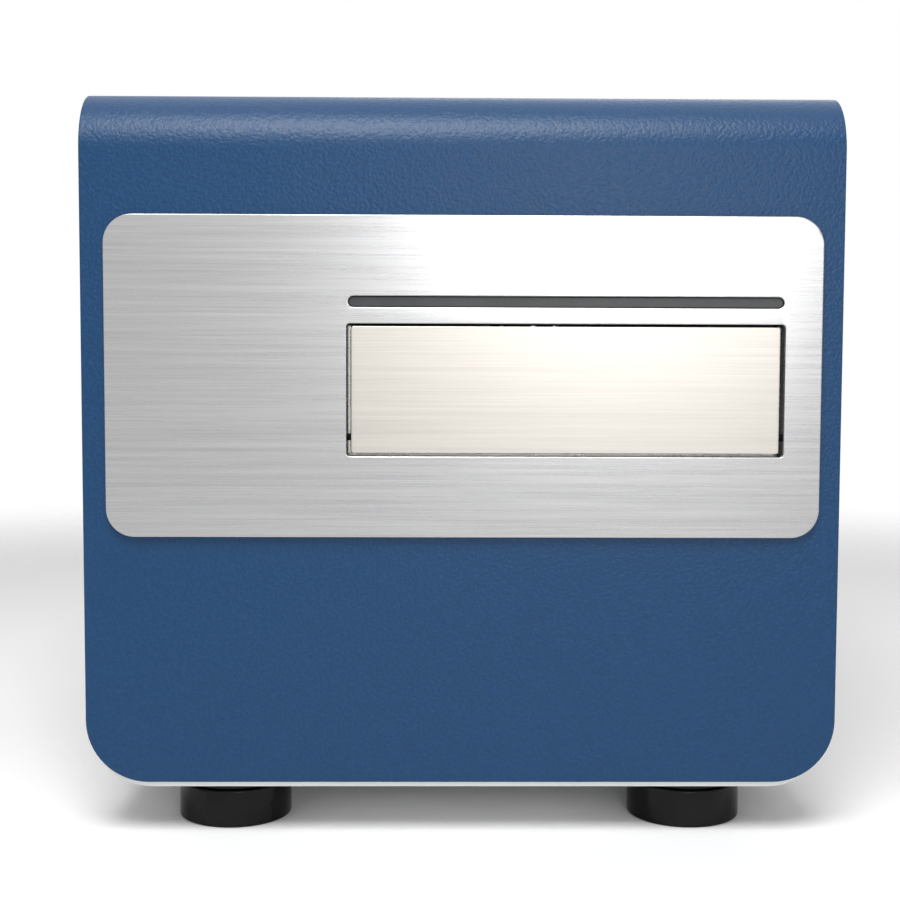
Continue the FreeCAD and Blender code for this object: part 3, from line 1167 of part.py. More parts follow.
def camera():
    """The finned camera, and the lens tube that ends under the filter wheel."""
    half = CAMERA_SIZE / 2
    body = slab(STAGE_X - half, STAGE_X + half, OPTICS_Y - half, OPTICS_Y + half, CAMERA_Z, TUBE_Z,
                SOFT_CORNER_R, Z_AXIS)
    for i in range(CAMERA_FINS):
        z = CAMERA_Z + CAMERA_FIN_Z + CAMERA_FIN_PITCH * i
        body = body.cut(block(STAGE_X - half, STAGE_X + half, OPTICS_Y - half, OPTICS_Y - half + CAMERA_FIN_DEPTH,
                              z, z + CAMERA_FIN_GAP))
    seat = block(STAGE_X - half, STAGE_X + half, OPTICS_Y - half, OPTICS_Y + half, OPT_TOP, CAMERA_Z)
    seat = seat.common(rod(half - CAMERA_SEAT_IN, (STAGE_X, OPTICS_Y, 0), Z_AXIS, HEIGHT))
    lens = tube(TUBE_R, TUBE_R - TUBE_WALL, (STAGE_X, OPTICS_Y, TUBE_Z), Z_AXIS, TUBE_H)
    save("camera", fuse(body, seat), lens)


def filter_wheel():
    """The turning disc with its colour glasses, and the motor above it on the column side."""
    disc = rod(WHEEL_R, (STAGE_X, WHEEL_Y, WHEEL_Z), Z_AXIS, WHEEL_T)
    glasses = []
    for a, b in ring_of(FILTERS, WHEEL_OFFSET, -math.pi / 2):
        spot = (STAGE_X + a, WHEEL_Y + b)
        disc = disc.cut(rod(WHEEL_HOLE_R - GLASS_LEDGE, (*spot, WHEEL_Z), Z_AXIS, WHEEL_T))
        disc = disc.cut(rod(WHEEL_HOLE_R, (*spot, WHEEL_Z + GLASS_SEAT), Z_AXIS, WHEEL_T))
        glasses.append(rod(WHEEL_HOLE_R - RUN_FIT, (*spot, WHEEL_Z + GLASS_SEAT), Z_AXIS, GLASS_T))
    shaft = rod(WHEEL_SHAFT_R, (STAGE_X, WHEEL_Y, WHEEL_Z - WHEEL_SHAFT_L), Z_AXIS, WHEEL_SHAFT_L)
    save("filter_wheel", fuse(disc, shaft))
    save("filter_glasses", *glasses)
    half = WHEEL_MOTOR_SIZE / 2
    motor_top = WHEEL_Z - WHEEL_GAP
    motor = slab(STAGE_X - half, STAGE_X + half, WHEEL_Y - half, WHEEL_Y + half, motor_top - WHEEL_MOTOR_H,
                 motor_top, SOFT_CORNER_R, Z_AXIS)
    arm = block(STAGE_X - half * 0.7, STAGE_X + half * 0.7, WHEEL_Y + half * 0.9, deep(COLUMN_D0),
                motor_top - WHEEL_MOTOR_H / 2, motor_top - WHEEL_MOTOR_H / 4)
    well = rod(WHEEL_SHAFT_R + RUN_FIT, (STAGE_X, WHEEL_Y, motor_top - WHEEL_SHAFT_L), Z_AXIS, WHEEL_SHAFT_L)
    motor = fuse(motor, arm).cut(well)
    save("filter_motor", motor)


def light_cube():
    """The mirror cube on the light path with its port, and the finned lamp in front of it."""
    half = CUBE_SIZE / 2
    cube = slab(STAGE_X - half, STAGE_X + half, OPTICS_Y - half, OPTICS_Y + half, CUBE_Z, CUBE_Z + CUBE_H,
                SOFT_CORNER_R, Z_AXIS)
    cube = cube.cut(rod(CUBE_PORT_R, (STAGE_X, OPTICS_Y, CUBE_Z), Z_AXIS, CUBE_H))
    cube = cube.cut(rod(CUBE_PORT_R, (STAGE_X, OPTICS_Y - half, CUBE_Z + CUBE_H / 2), Y_AXIS, half))
    save("mirror_cube", cube)
    mid = CUBE_Z + CUBE_H / 2
    y1 = OPTICS_Y - half
    lamp = rod(LED_BODY_R, (STAGE_X, y1 - LED_L, mid), Y_AXIS, LED_L)
    fins = []
    for i in range(LED_FINS):
        fin_y = y1 - LED_L + LED_FIN_T + i * LED_FIN_PITCH
        fins.append(block(STAGE_X - LED_R, STAGE_X + LED_R, fin_y, fin_y + LED_FIN_T, mid - LED_R, mid + LED_R))
    save("excitation_lamp", fuse(lamp, *fins))


def focus_drive():
    """Objective on its sliding arm, guided on the column's face, with its small screw and motor."""
    column_y = deep(COLUMN_D0)
    arm_z = OBJECTIVE_Z - FOCUS_TRAVEL
    thread_r = OBJECTIVE_R - OBJECTIVE_LEDGE
    arm = block(STAGE_X - FOCUS_ARM_W / 2, STAGE_X + FOCUS_ARM_W / 2, OPTICS_Y, column_y - GAP,
                arm_z, arm_z + FOCUS_ARM_T)
    eye = rod(OBJECTIVE_R + EYE_WALL, (STAGE_X, OPTICS_Y, arm_z), Z_AXIS, FOCUS_ARM_T)
    slider = fuse(arm, eye).cut(rod(thread_r, (STAGE_X, OPTICS_Y, arm_z), Z_AXIS, FOCUS_ARM_T))
    slider = slider.cut(rod(FOCUS_SCREW_R + RUN_FIT, (STAGE_X, FOCUS_SCREW_Y, arm_z), Z_AXIS, FOCUS_ARM_T))
    save("focus_arm", slider)
    barrel_z = arm_z + FOCUS_ARM_T
    barrel_top = STAGE_Z - FOCUS_TRAVEL - FOCUS_CLEAR
    straight = (barrel_top - barrel_z) * BARREL_SHARE
    nose_r = OBJECTIVE_R * BARREL_SHARE
    barrel = rod(OBJECTIVE_R, (STAGE_X, OPTICS_Y, barrel_z), Z_AXIS, straight)
    taper = Part.makeCone(OBJECTIVE_R, nose_r, barrel_top - barrel_z - straight,
                          V(STAGE_X, OPTICS_Y, barrel_z + straight), Z_AXIS)
    ring = rod(OBJECTIVE_R + 1, (STAGE_X, OPTICS_Y, barrel_z + OBJECTIVE_LEDGE), Z_AXIS, KNURL_H)
    thread = rod(thread_r - RUN_FIT, (STAGE_X, OPTICS_Y, arm_z), Z_AXIS, FOCUS_ARM_T)
    bore = rod(nose_r * BARREL_SHARE, (STAGE_X, OPTICS_Y, arm_z), Z_AXIS, HEIGHT)
    save("objective", fuse(barrel, taper, ring, thread).cut(bore))
    half = FOCUS_MOTOR_SIZE / 2
    motor_z = CUBE_Z + WHEEL_GAP / 2
    motor = slab(STAGE_X - half, STAGE_X + half, FOCUS_SCREW_Y - half, FOCUS_SCREW_Y + half, motor_z, SHELF_Z0,
                 SOFT_CORNER_R, Z_AXIS)
    well_z = SHELF_Z0 - FOCUS_SCREW_IN - 1
    hole = rod(FOCUS_SCREW_R + RUN_FIT, (STAGE_X, FOCUS_SCREW_Y, well_z), Z_AXIS, SHELF_Z0 - well_z)
    save("focus_motor", motor.cut(hole))
    tip = arm_z + FOCUS_ARM_T + FOCUS_TRAVEL + 1
    screw_z = SHELF_Z0 - FOCUS_SCREW_IN
    save("focus_screw", rod(FOCUS_SCREW_R, (STAGE_X, FOCUS_SCREW_Y, screw_z), Z_AXIS, tip - screw_z))


def cross_drive():
    """The cross screw in two bearings on the base plate, and its motor."""
    y = deep(CROSS_SCREW_D)
    left = STAGE_X - CROSS_RAIL_HALF - CROSS_BEARING_T / 2
    right = STAGE_X + CROSS_RAIL_HALF + CROSS_BEARING_T / 2
    wide = CROSS_BEARING_W / 2
    bearings = []
    for x in (left, right):
        body = block(x, x + CROSS_BEARING_T, y - wide, y + wide, BASE_TOP, CROSS_SCREW_Z + wide)
        bearings.append(body.cut(rod(CROSS_SCREW_R + RUN_FIT, (x, y, CROSS_SCREW_Z), X_AXIS, CROSS_BEARING_T)))
    save("cross_bearings", *bearings)
    half = CROSS_MOTOR_SIZE / 2
    well = CROSS_MOTOR_L / 4
    motor_x = left - CROSS_COUPLER_L
    motor = slab(motor_x - CROSS_MOTOR_L, motor_x, y - half, y + half, CROSS_SCREW_Z - half,
                 CROSS_SCREW_Z + half, half / 5, X_AXIS)
    motor = motor.cut(rod(CROSS_SCREW_R + RUN_FIT, (motor_x - well, y, CROSS_SCREW_Z), X_AXIS, well))
    post = block(motor_x - CROSS_MOTOR_L * 0.9, motor_x - CROSS_MOTOR_L * 0.1, y - half * 0.8, y + half * 0.8,
                 TRAY_FLOOR, CROSS_SCREW_Z - half)
    save("cross_motor", motor)
    start = motor_x - well + GAP
    screw = rod(CROSS_SCREW_R, (start, y, CROSS_SCREW_Z), X_AXIS, right + CROSS_BEARING_T - start)
    coupler = rod(CROSS_COUPLER_R, (motor_x + GAP, y, CROSS_SCREW_Z), X_AXIS, CROSS_COUPLER_L - 2 * GAP)
    save("cross_screw", fuse(screw, coupler))
    return post


# Electronics in the left bay
SUPPLY_INSET = 20.5
SUPPLY_W = 40.0
SUPPLY_D0 = 250.0
SUPPLY_L = 110.0
SUPPLY_H = 72.0
SUPPLY_RISE = 4.0
SUPPLY_SLOTS = 6
SUPPLY_SLOT_W = 5.0
SUPPLY_SLOT_PITCH = 14.0
SUPPLY_SLOT_DEPTH = 2.0
SUPPLY_LEG_R = 3.0
SUPPLY_LEG_INSET = 14.0
BOARD_D0 = 60.0
BOARD_L = 170.0
BOARD_Z0 = 120.0
BOARD_H = 110.0
BOARD_STAND = 10.0
SPACER_R = 3.0
SPACER_INSET = 8.0


def power_supply():
    """The enclosed supply on four spacers, with slots in its lid."""
    x0 = SUPPLY_INSET - TRAY_X
    y0, y1 = deep(SUPPLY_D0), deep(SUPPLY_D0 + SUPPLY_L)
    z0 = TRAY_FLOOR + SUPPLY_RISE
    box = block(x0, x0 + SUPPLY_W, y0, y1, z0, z0 + SUPPLY_H)
    margin = SUPPLY_W / 4
    for i in range(SUPPLY_SLOTS):
        y = y0 + 2 * margin + SUPPLY_SLOT_PITCH * i
        box = box.cut(block(x0 + margin, x0 + SUPPLY_W - margin, y, y + SUPPLY_SLOT_W,
                            z0 + SUPPLY_H - SUPPLY_SLOT_DEPTH, z0 + SUPPLY_H))
    legs = [rod(SUPPLY_LEG_R, (x, y, TRAY_FLOOR), Z_AXIS, SUPPLY_RISE)
            for x in (x0 + SUPPLY_LEG_INSET, x0 + SUPPLY_W - SUPPLY_LEG_R * 2)
            for y in (y0 + SUPPLY_LEG_R * 3, y1 - SUPPLY_LEG_R * 3)]
    save("power_supply", fuse(box, *legs))


def controller_board():
    """The upright circuit board on spacers from the left side, with its larger parts."""
    side_x = -TRAY_X + TRAY_T
    face_x = side_x + BOARD_STAND + BOARD_T
    board = block(side_x + BOARD_STAND, face_x, deep(BOARD_D0), deep(BOARD_D0 + BOARD_L), BOARD_Z0, BOARD_Z0 + BOARD_H)
    spacers = [rod(SPACER_R, (side_x, deep(d), z), X_AXIS, BOARD_STAND)
               for d in (BOARD_D0 + SPACER_INSET, BOARD_D0 + BOARD_L - SPACER_INSET)
               for z in (BOARD_Z0 + SPACER_INSET, BOARD_Z0 + BOARD_H - SPACER_INSET)]
    parts = []
    for along, up, wide, high, tall in ((0.14, 0.27, 0.16, 0.25, 0.6), (0.41, 0.22, 0.24, 0.13, 1.0),
                                        (0.39, 0.56, 0.13, 0.20, 0.3), (0.71, 0.18, 0.08, 0.55, 1.2),
                                        (0.14, 0.71, 0.20, 0.11, 0.9), (0.61, 0.80, 0.07, 0.11, 1.6)):
        y = deep(BOARD_D0 + along * BOARD_L)
        z = BOARD_Z0 + up * BOARD_H
        parts.append(block(face_x, face_x + tall * BOARD_STAND, y, y + wide * BOARD_L, z, z + high * BOARD_H))
    save("controller_board", fuse(board, *parts), *spacers)


def main():
    """Builds every piece of the instrument."""
    os.makedirs("parts", exist_ok=True)
    outer_cover()
    chassis_tray()
    feet()
    rear_panel()
    rear_fasteners()
    power_inlet()
    power_switch()
    usb_port()
    fan()
    faceplate()
    door_frame()
    door_leaf()
    door_sector_gear()
    door_pinion()
    door_motor()
    light_bar()
    base_plate()
    stage_frames()
    stage()
    stage_bracket = stage_drive()
    lamp_bridge()
    cross_rails()
    optics_carriage()
    camera()
    filter_wheel()
    light_cube()
    focus_drive()
    cross_bracket = cross_drive()
    save("motor_brackets", stage_bracket, cross_bracket)
    power_supply()
    controller_board()


main()
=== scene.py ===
"""Looks of an automated cell counter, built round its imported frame.

Lengths are in metres, with X to the right, Y to the back and Z up.
"""

import json
import logging
import math
from dataclasses import dataclass, field
from enum import Enum
from typing import Callable, Optional, Sequence, Union

import bmesh
import bpy
from mathutils import Matrix, Vector


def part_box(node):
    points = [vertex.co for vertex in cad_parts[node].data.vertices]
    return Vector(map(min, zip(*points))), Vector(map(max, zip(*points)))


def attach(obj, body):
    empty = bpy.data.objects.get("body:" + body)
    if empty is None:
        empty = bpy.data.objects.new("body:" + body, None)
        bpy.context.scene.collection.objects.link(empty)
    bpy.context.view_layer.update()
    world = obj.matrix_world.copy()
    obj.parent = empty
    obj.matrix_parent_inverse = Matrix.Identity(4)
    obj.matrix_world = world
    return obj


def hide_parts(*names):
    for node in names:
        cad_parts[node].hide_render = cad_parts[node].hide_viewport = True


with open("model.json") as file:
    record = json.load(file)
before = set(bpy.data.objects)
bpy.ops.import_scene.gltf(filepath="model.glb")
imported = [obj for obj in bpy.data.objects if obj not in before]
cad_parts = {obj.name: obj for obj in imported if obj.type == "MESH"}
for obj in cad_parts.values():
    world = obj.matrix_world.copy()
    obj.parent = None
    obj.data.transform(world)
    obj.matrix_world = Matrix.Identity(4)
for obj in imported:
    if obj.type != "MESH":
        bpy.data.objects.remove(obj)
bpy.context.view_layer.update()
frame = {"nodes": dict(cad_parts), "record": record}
LOG = logging.getLogger("counter")
MM = 0.001
SPECK = 1e-7
TINY = 1e-9
HOUSING = "housing"
QUARTER = math.pi / 2

Point2 = tuple[float, float]
Colour = tuple[float, float, float]
Number = Union[int, float]
Put = Callable[[float, float, float], tuple[float, float, float]]


class Axis(Enum):
    """The axis that a piece is turned about, or that a level is counted along."""

    X = 0
    Y = 1
    Z = 2


def tone(red: float, green: float, blue: float) -> Colour:
    """A colour as the eye sees it, turned into the light that a shader counts in.

    Args:
        red: red share of a display, 0 to 255.
        green: green share of a display, 0 to 255.
        blue: blue share of a display, 0 to 255.

    Returns:
        The same colour in linear light.
    """
    shares = [c / 255 for c in (red, green, blue)]
    return tuple(c / 12.92 if c <= 0.04045 else ((c + 0.055) / 1.055) ** 2.4 for c in shares)


def shade(colour: Colour, times: float, plus: float = 0.0) -> Colour:
    """A darker or lighter shade of a colour.

    Args:
        colour: the colour, in linear light.
        times: what each share is multiplied by.
        plus: what each share gains besides.

    Returns:
        The shade, no lighter than white.
    """
    return tuple(min(1.0, c * times + plus) for c in colour)


class Wire:
    """A socket that takes part in sums: each operator adds its Math node."""

    def __init__(self, tree: "Nodes", socket: bpy.types.NodeSocket) -> None:
        """Keeps the socket and its tree."""
        self.tree = tree
        self.socket = socket

    def maths(self, operation: str, *terms: Union["Wire", Number]) -> "Wire":
        """One Math node.

        Args:
            operation: the name of the sum.
            terms: its numbers or wires, in order.

        Returns:
            The result as a wire.
        """
        return self.tree.node("Math", {"operation": operation}, dict(enumerate(terms)))

    def __add__(self, other: Union["Wire", Number]) -> "Wire":
        """Sum."""
        return self.maths("ADD", self, other)

    def __radd__(self, other: Number) -> "Wire":
        """Sum, with a number first."""
        return self.maths("ADD", other, self)

    def __sub__(self, other: Union["Wire", Number]) -> "Wire":
        """Difference."""
        return self.maths("SUBTRACT", self, other)

    def __rsub__(self, other: Number) -> "Wire":
        """Difference, with a number first."""
        return self.maths("SUBTRACT", other, self)

    def __mul__(self, other: Union["Wire", Number]) -> "Wire":
        """Product."""
        return self.maths("MULTIPLY", self, other)

    def __rmul__(self, other: Number) -> "Wire":
        """Product, with a number first."""
        return self.maths("MULTIPLY", other, self)

    def __gt__(self, other: Number) -> "Wire":
        """1 where the wire is above a number, else 0."""
        return self.maths("GREATER_THAN", self, other)

    def highest(self, other: "Wire") -> "Wire":
        """The higher of two wires."""
        return self.maths("MAXIMUM", self, other)

    def between(self, low: float, high: float) -> "Wire":
        """The wire as a smooth share from one level to another.

        Args:
            low: the level that gives 0.
            high: the level that gives 1.

        Returns:
            A share between 0 and 1.
        """
        settings = {"interpolation_type": "SMOOTHSTEP"}
        inputs = {"Value": self, "From Min": low, "From Max": high}
        return self.tree.node("MapRange", settings, inputs)


def about(middle: float, *swings: tuple[Wire, float]) -> Wire:
    """A level that swings about a middle value.

    Args:
        middle: the value where every wire is one half.
        swings: wires between 0 and 1, each with how far it moves the level in all.

    Returns:
        The level.
    """
    level, swing = swings[0]
    total = level * swing
    for level, swing in swings[1:]:
        total = total + level * swing
    return total + (middle - sum(swing for _, swing in swings) / 2)


class Nodes:
    """A node tree, filled by one plain call for each node."""

    def __init__(self, tree: bpy.types.NodeTree) -> None:
        """Keeps the tree."""
        self.tree = tree

    def node(self, kind: str, settings: Optional[dict] = None, inputs: Optional[dict] = None,
             output: Union[int, str] = 0) -> Wire:
        """Adds one node.

        Args:
            kind: the node's type, without its prefix.
            settings: what it is set to, before its sockets.
            inputs: numbers, colours or wires, by socket name or place.
            output: which of its outputs to give back.

        Returns:
            The output as a wire.
        """
        made = self.tree.nodes.new("ShaderNode" + kind)
        for key, value in (settings or {}).items():
            setattr(made, key, value)
        for key, value in (inputs or {}).items():
            if isinstance(value, Wire):
                self.tree.links.new(value.socket, made.inputs[key])
            else:
                made.inputs[key].default_value = value
        return Wire(self, made.outputs[output])


class Shader(Nodes):
    """A material with one Principled shader, built by plain calls."""

    COLOUR_A = 6
    COLOUR_B = 7
    COLOUR_OUT = 2

    def __init__(self, name: str) -> None:
        """Starts an empty material of that name."""
        self.material = bpy.data.materials.new(name)
        self.material.use_nodes = True
        super().__init__(self.material.node_tree)
        self.body = self.tree.nodes["Principled BSDF"]

    def place(self, scale: Sequence[float] = (1, 1, 1)) -> Wire:
        """The point on the piece, in metres from the frame's origin, times a scale.

        Args:
            scale: how much each direction is stretched, more for finer grain.

        Returns:
            The point as a vector.
        """
        point = self.node("TexCoord", output="Object")
        return self.node("VectorMath", {"operation": "MULTIPLY"}, {0: point, 1: tuple(scale)})

    def noise(self, scale: Sequence[float], detail: float, rough: float) -> Wire:
        """Cloudy noise.

        Args:
            scale: patches per metre along each axis.
            detail: how many finer layers it has.
            rough: how strong those layers are.

        Returns:
            A level about one half.
        """
        inputs = {"Vector": self.place(scale), "Scale": 1.0, "Detail": detail, "Roughness": rough}
        return self.node("TexNoise", {"noise_dimensions": "3D"}, inputs)

    def axis(self, axis: Axis) -> Wire:
        """One coordinate of the point on the piece.

        Args:
            axis: which one.

        Returns:
            Metres along that axis.
        """
        return self.node("SeparateXYZ", None, {0: self.place()}, axis.value)

    def blend(self, factor: Wire, first: Union[Wire, Colour], second: Union[Wire, Colour]) -> Wire:
        """Lays one colour over another.

        Args:
            factor: how much of the second shows.
            first: the colour below.
            second: the colour above.

        Returns:
            The mixed colour.
        """
        first, second = (c if isinstance(c, Wire) else (*c, 1.0) for c in (first, second))
        colours = {"Factor": factor, self.COLOUR_A: first, self.COLOUR_B: second}
        return self.node("Mix", {"data_type": "RGBA"}, colours, self.COLOUR_OUT)

    def set(self, **values: Union[Wire, Number, Colour]) -> "Shader":
        """Sets the shader's own sockets, a colour or number as it is and a wire by a link.

        Args:
            values: socket names with underscores for spaces.

        Returns:
            This shader, so that calls can follow each other.
        """
        for name, value in values.items():
            socket = self.body.inputs[name.replace("_", " ")]
            if isinstance(value, Wire):
                self.tree.links.new(value.socket, socket)
            else:
                socket.default_value = (*value, 1.0) if isinstance(value, tuple) else value
        return self

    def bump(self, height: Wire, depth: float, strength: float = 1.0) -> "Shader":
        """Raises the surface by a level.

        Args:
            height: the level, about 0 to 1.
            depth: metres between level 0 and level 1.
            strength: how much of it shows.

        Returns:
            This shader.
        """
        inputs = {"Height": height, "Distance": depth, "Strength": strength}
        return self.set(Normal=self.node("Bump", None, inputs))


@dataclass(frozen=True)
class PowderCoat:
    """Sprayed and baked powder on sheet metal, with its fine orange-peel grain."""

    name: str
    colour: Colour
    grain: float
    depth: float
    gloss: float
    mottle: float = 0.10
    patches: float = 9.0
    pits: tuple[float, float] = (0.44, 0.66)
    shine: float = 0.26

    def material(self) -> bpy.types.Material:
        """The finish as a material."""
        shader = Shader(self.name)
        peel = shader.noise((self.grain,) * 3, 2.0, 0.55)
        cloud = shader.noise((self.patches,) * 3, 3.0, 0.6)
        speck = peel.between(*self.pits)
        dark, light = shade(self.colour, 1 - self.mottle), shade(self.colour, 1 + self.mottle)
        colour = shader.blend(speck * 0.7 + cloud * 0.3, dark, light)
        shader.set(Base_Color=colour, Roughness=about(self.gloss, (cloud, 0.06), (speck, 0.08)))
        shader.set(Specular_IOR_Level=self.shine)
        return shader.bump(peel, self.depth).material


@dataclass(frozen=True)
class Brushed:
    """Sheet metal brushed along X, with fine hairs and broader bands."""

    name: str
    colour: Colour
    rough: float
    streak: float
    hairs: tuple[float, float, float] = (14.0, 900.0, 2600.0)
    bands: tuple[float, float, float] = (5.0, 200.0, 420.0)
    contrast: tuple[float, float] = (0.32, 0.68)
    depth: float = 0.02 * MM

    def material(self) -> bpy.types.Material:
        """The finish as a material."""
        shader = Shader(self.name)
        fine = shader.noise(self.hairs, 4.0, 0.65)
        hair = fine * 0.6 + shader.noise(self.bands, 3.0, 0.6) * 0.4
        low, high = shade(self.colour, 1 - self.streak), shade(self.colour, 1 + self.streak)
        shader.set(Base_Color=shader.blend(hair.between(*self.contrast), low, high), Metallic=1.0)
        shader.set(Roughness=about(self.rough, (hair, 0.16)))
        return shader.bump(fine, self.depth, 0.6).material


@dataclass(frozen=True)
class Machined:
    """Milled, turned or ground metal with a fine irregular sheen."""

    name: str
    colour: Colour
    rough: float = 0.32
    metal: float = 1.0
    cuts: tuple[float, float, float] = (160.0, 160.0, 900.0)
    patches: float = 24.0
    darker: float = 0.12
    depth: float = 0.015 * MM

    def material(self) -> bpy.types.Material:
        """The finish as a material."""
        shader = Shader(self.name)
        lay = shader.noise(self.cuts, 3.0, 0.6)
        cloud = shader.noise((self.patches,) * 3, 2.0, 0.5)
        deep = shade(self.colour, 1 - self.darker)
        shader.set(Base_Color=shader.blend(lay.between(0.3, 0.7), deep, self.colour))
        shader.set(Metallic=self.metal)
        shader.set(Roughness=about(self.rough, (cloud, 0.05), (lay, 0.08)))
        return shader.bump(lay, self.depth, 0.5).material


@dataclass(frozen=True)
class Moulded:
    """Moulded plastic or rubber, from matt and grained to polished."""

    name: str
    colour: Colour
    rough: float = 0.45
    grain: float = 1400.0
    depth: float = 0.04 * MM
    coat: float = 0.0
    shine: float = 0.4
    patches: float = 30.0
    coat_rough: float = 0.06

    def material(self) -> bpy.types.Material:
        """The finish as a material."""
        shader = Shader(self.name)
        skin = shader.noise((self.grain,) * 3, 2.0, 0.5)
        cloud = shader.noise((self.patches,) * 3, 3.0, 0.6)
        light = shade(self.colour, 1.25, 0.002)
        shader.set(Base_Color=shader.blend(cloud.between(0.35, 0.7), self.colour, light))
        shader.set(Roughness=about(self.rough, (cloud, 0.10)), Specular_IOR_Level=self.shine)
        shader.set(Coat_Weight=self.coat, Coat_Roughness=self.coat_rough)
        return shader.bump(skin, self.depth, 0.7).material


@dataclass(frozen=True)
class Board:
    """A circuit board: copper runs under solder mask, dark parts before it, metal posts behind.

    A point is on a part where its look axis is above front, and on a post where it is below back.
    """

    name: str
    run_along: Axis
    run_across: Axis
    look: Axis = Axis.X
    back: float = -1.0
    front: float = 1.0
    colour: Colour = tone(14, 74, 44)
    packages: Colour = tone(22, 22, 23)
    posts: Colour = tone(196, 184, 150)
    runs_per_metre: float = 520.0
    half_run: tuple[float, float] = (0.10, 0.17)
    blocks: float = 75.0
    patches: float = 60.0
    depth: float = 0.04 * MM

    def runs(self, shader: Shader, axis: Axis) -> Wire:
        """Straight copper runs side by side.

        Args:
            shader: the material in the making.
            axis: the direction that they are counted along.

        Returns:
            1 on a run, else 0.
        """
        count = shader.axis(axis) * self.runs_per_metre
        return 1 - count.maths("PINGPONG", count, 0.5).between(*self.half_run)

    def material(self) -> bpy.types.Material:
        """The finish as a material."""
        shader = Shader(self.name)
        inputs = {"Vector": shader.place((self.blocks,) * 3), "Scale": 1.0, "Randomness": 0.7}
        cell = shader.node("TexVoronoi", {"distance": "CHEBYCHEV"}, inputs, "Color")
        block = cell.between(0.44, 0.46)
        bare = shader.noise((self.patches,) * 3, 1.0, 0.4).between(0.55, 0.57)
        along, across = self.runs(shader, self.run_along), self.runs(shader, self.run_across)
        run = (along * block + across * (1 - block)) * (1 - bare)
        part = shader.axis(self.look) > self.front
        post = 1 - (shader.axis(self.look) > self.back)
        trace = shade(self.colour, 1.7, 0.008)
        mask = shader.blend(part, shader.blend(run, self.colour, trace), self.packages)
        shader.set(Base_Color=shader.blend(post, mask, self.posts), Metallic=post,
                   Roughness=0.40 - run * 0.10 + part * 0.12)
        return shader.bump(run * (1 - part) * (1 - post), self.depth).material


@dataclass(frozen=True)
class Clear:
    """Tinted see-through plastic or filter glass."""

    name: str
    colour: Colour
    through: float = 0.6
    rough: float = 0.10
    bends: float = 1.49
    patches: float = 60.0
    depth: float = 0.01 * MM

    def material(self) -> bpy.types.Material:
        """The finish as a material."""
        shader = Shader(self.name)
        cloud = shader.noise((self.patches,) * 3, 2.0, 0.5)
        deep = shade(self.colour, 0.8)
        shader.set(Base_Color=shader.blend(cloud.between(0.3, 0.7), deep, self.colour))
        shader.set(Roughness=about(self.rough, (cloud, 0.04)))
        shader.set(Transmission_Weight=self.through, IOR=self.bends)
        return shader.bump(cloud, self.depth, 0.3).material


@dataclass(frozen=True)
class Outline:
    """A box with rounded corners, given from the upper right one round to the left."""

    left: float
    right: float
    low: float
    high: float
    radii: tuple[float, float, float, float]
    steps: int

    def ring(self, inset: float) -> list[Point2]:
        """The outline drawn in by an inset, with the same number of points each time.

        Args:
            inset: how far inside the outline the ring lies.

        Returns:
            The ring's points, turning left.
        """
        x0, x1 = self.left + inset, self.right - inset
        y0, y1 = self.low + inset, self.high - inset
        points = []
        corners = ((x1, y1, -1, -1), (x0, y1, 1, -1), (x0, y0, 1, 1), (x1, y0, -1, 1))
        for quarter, ((x, y, dx, dy), full) in enumerate(zip(corners, self.radii)):
            radius = max(full - inset, 0.001 * MM)
            for k in range(self.steps + 1):
                angle = QUARTER * (quarter + k / self.steps)
                points.append((x + dx * radius + radius * math.cos(angle),
                               y + dy * radius + radius * math.sin(angle)))
        return points


@dataclass(frozen=True)
class Cell:
    """A round hole, as a regular outline of many sides."""

    x: float
    y: float
    radius: float
    sides: int

    def ring(self, inset: float) -> list[Point2]:
        """The outline drawn in by an inset.

        Args:
            inset: how far inside the outline the ring lies.

        Returns:
            The ring's points, turning left.
        """
        radius = self.radius - inset / math.cos(math.pi / self.sides)
        angles = [2 * math.pi * k / self.sides for k in range(self.sides)]
        return [(self.x + radius * math.cos(a), self.y + radius * math.sin(a)) for a in angles]


def box_outline(left: float, right: float, low: float, high: float, radius: float,
                steps: int) -> Outline:
    """A box with four equal corners.

    Args:
        left: lowest first coordinate.
        right: highest first coordinate.
        low: lowest second coordinate.
        high: highest second coordinate.
        radius: radius of the corners.
        steps: how many chords each corner has.

    Returns:
        The outline.
    """
    return Outline(left, right, low, high, (radius,) * 4, steps)


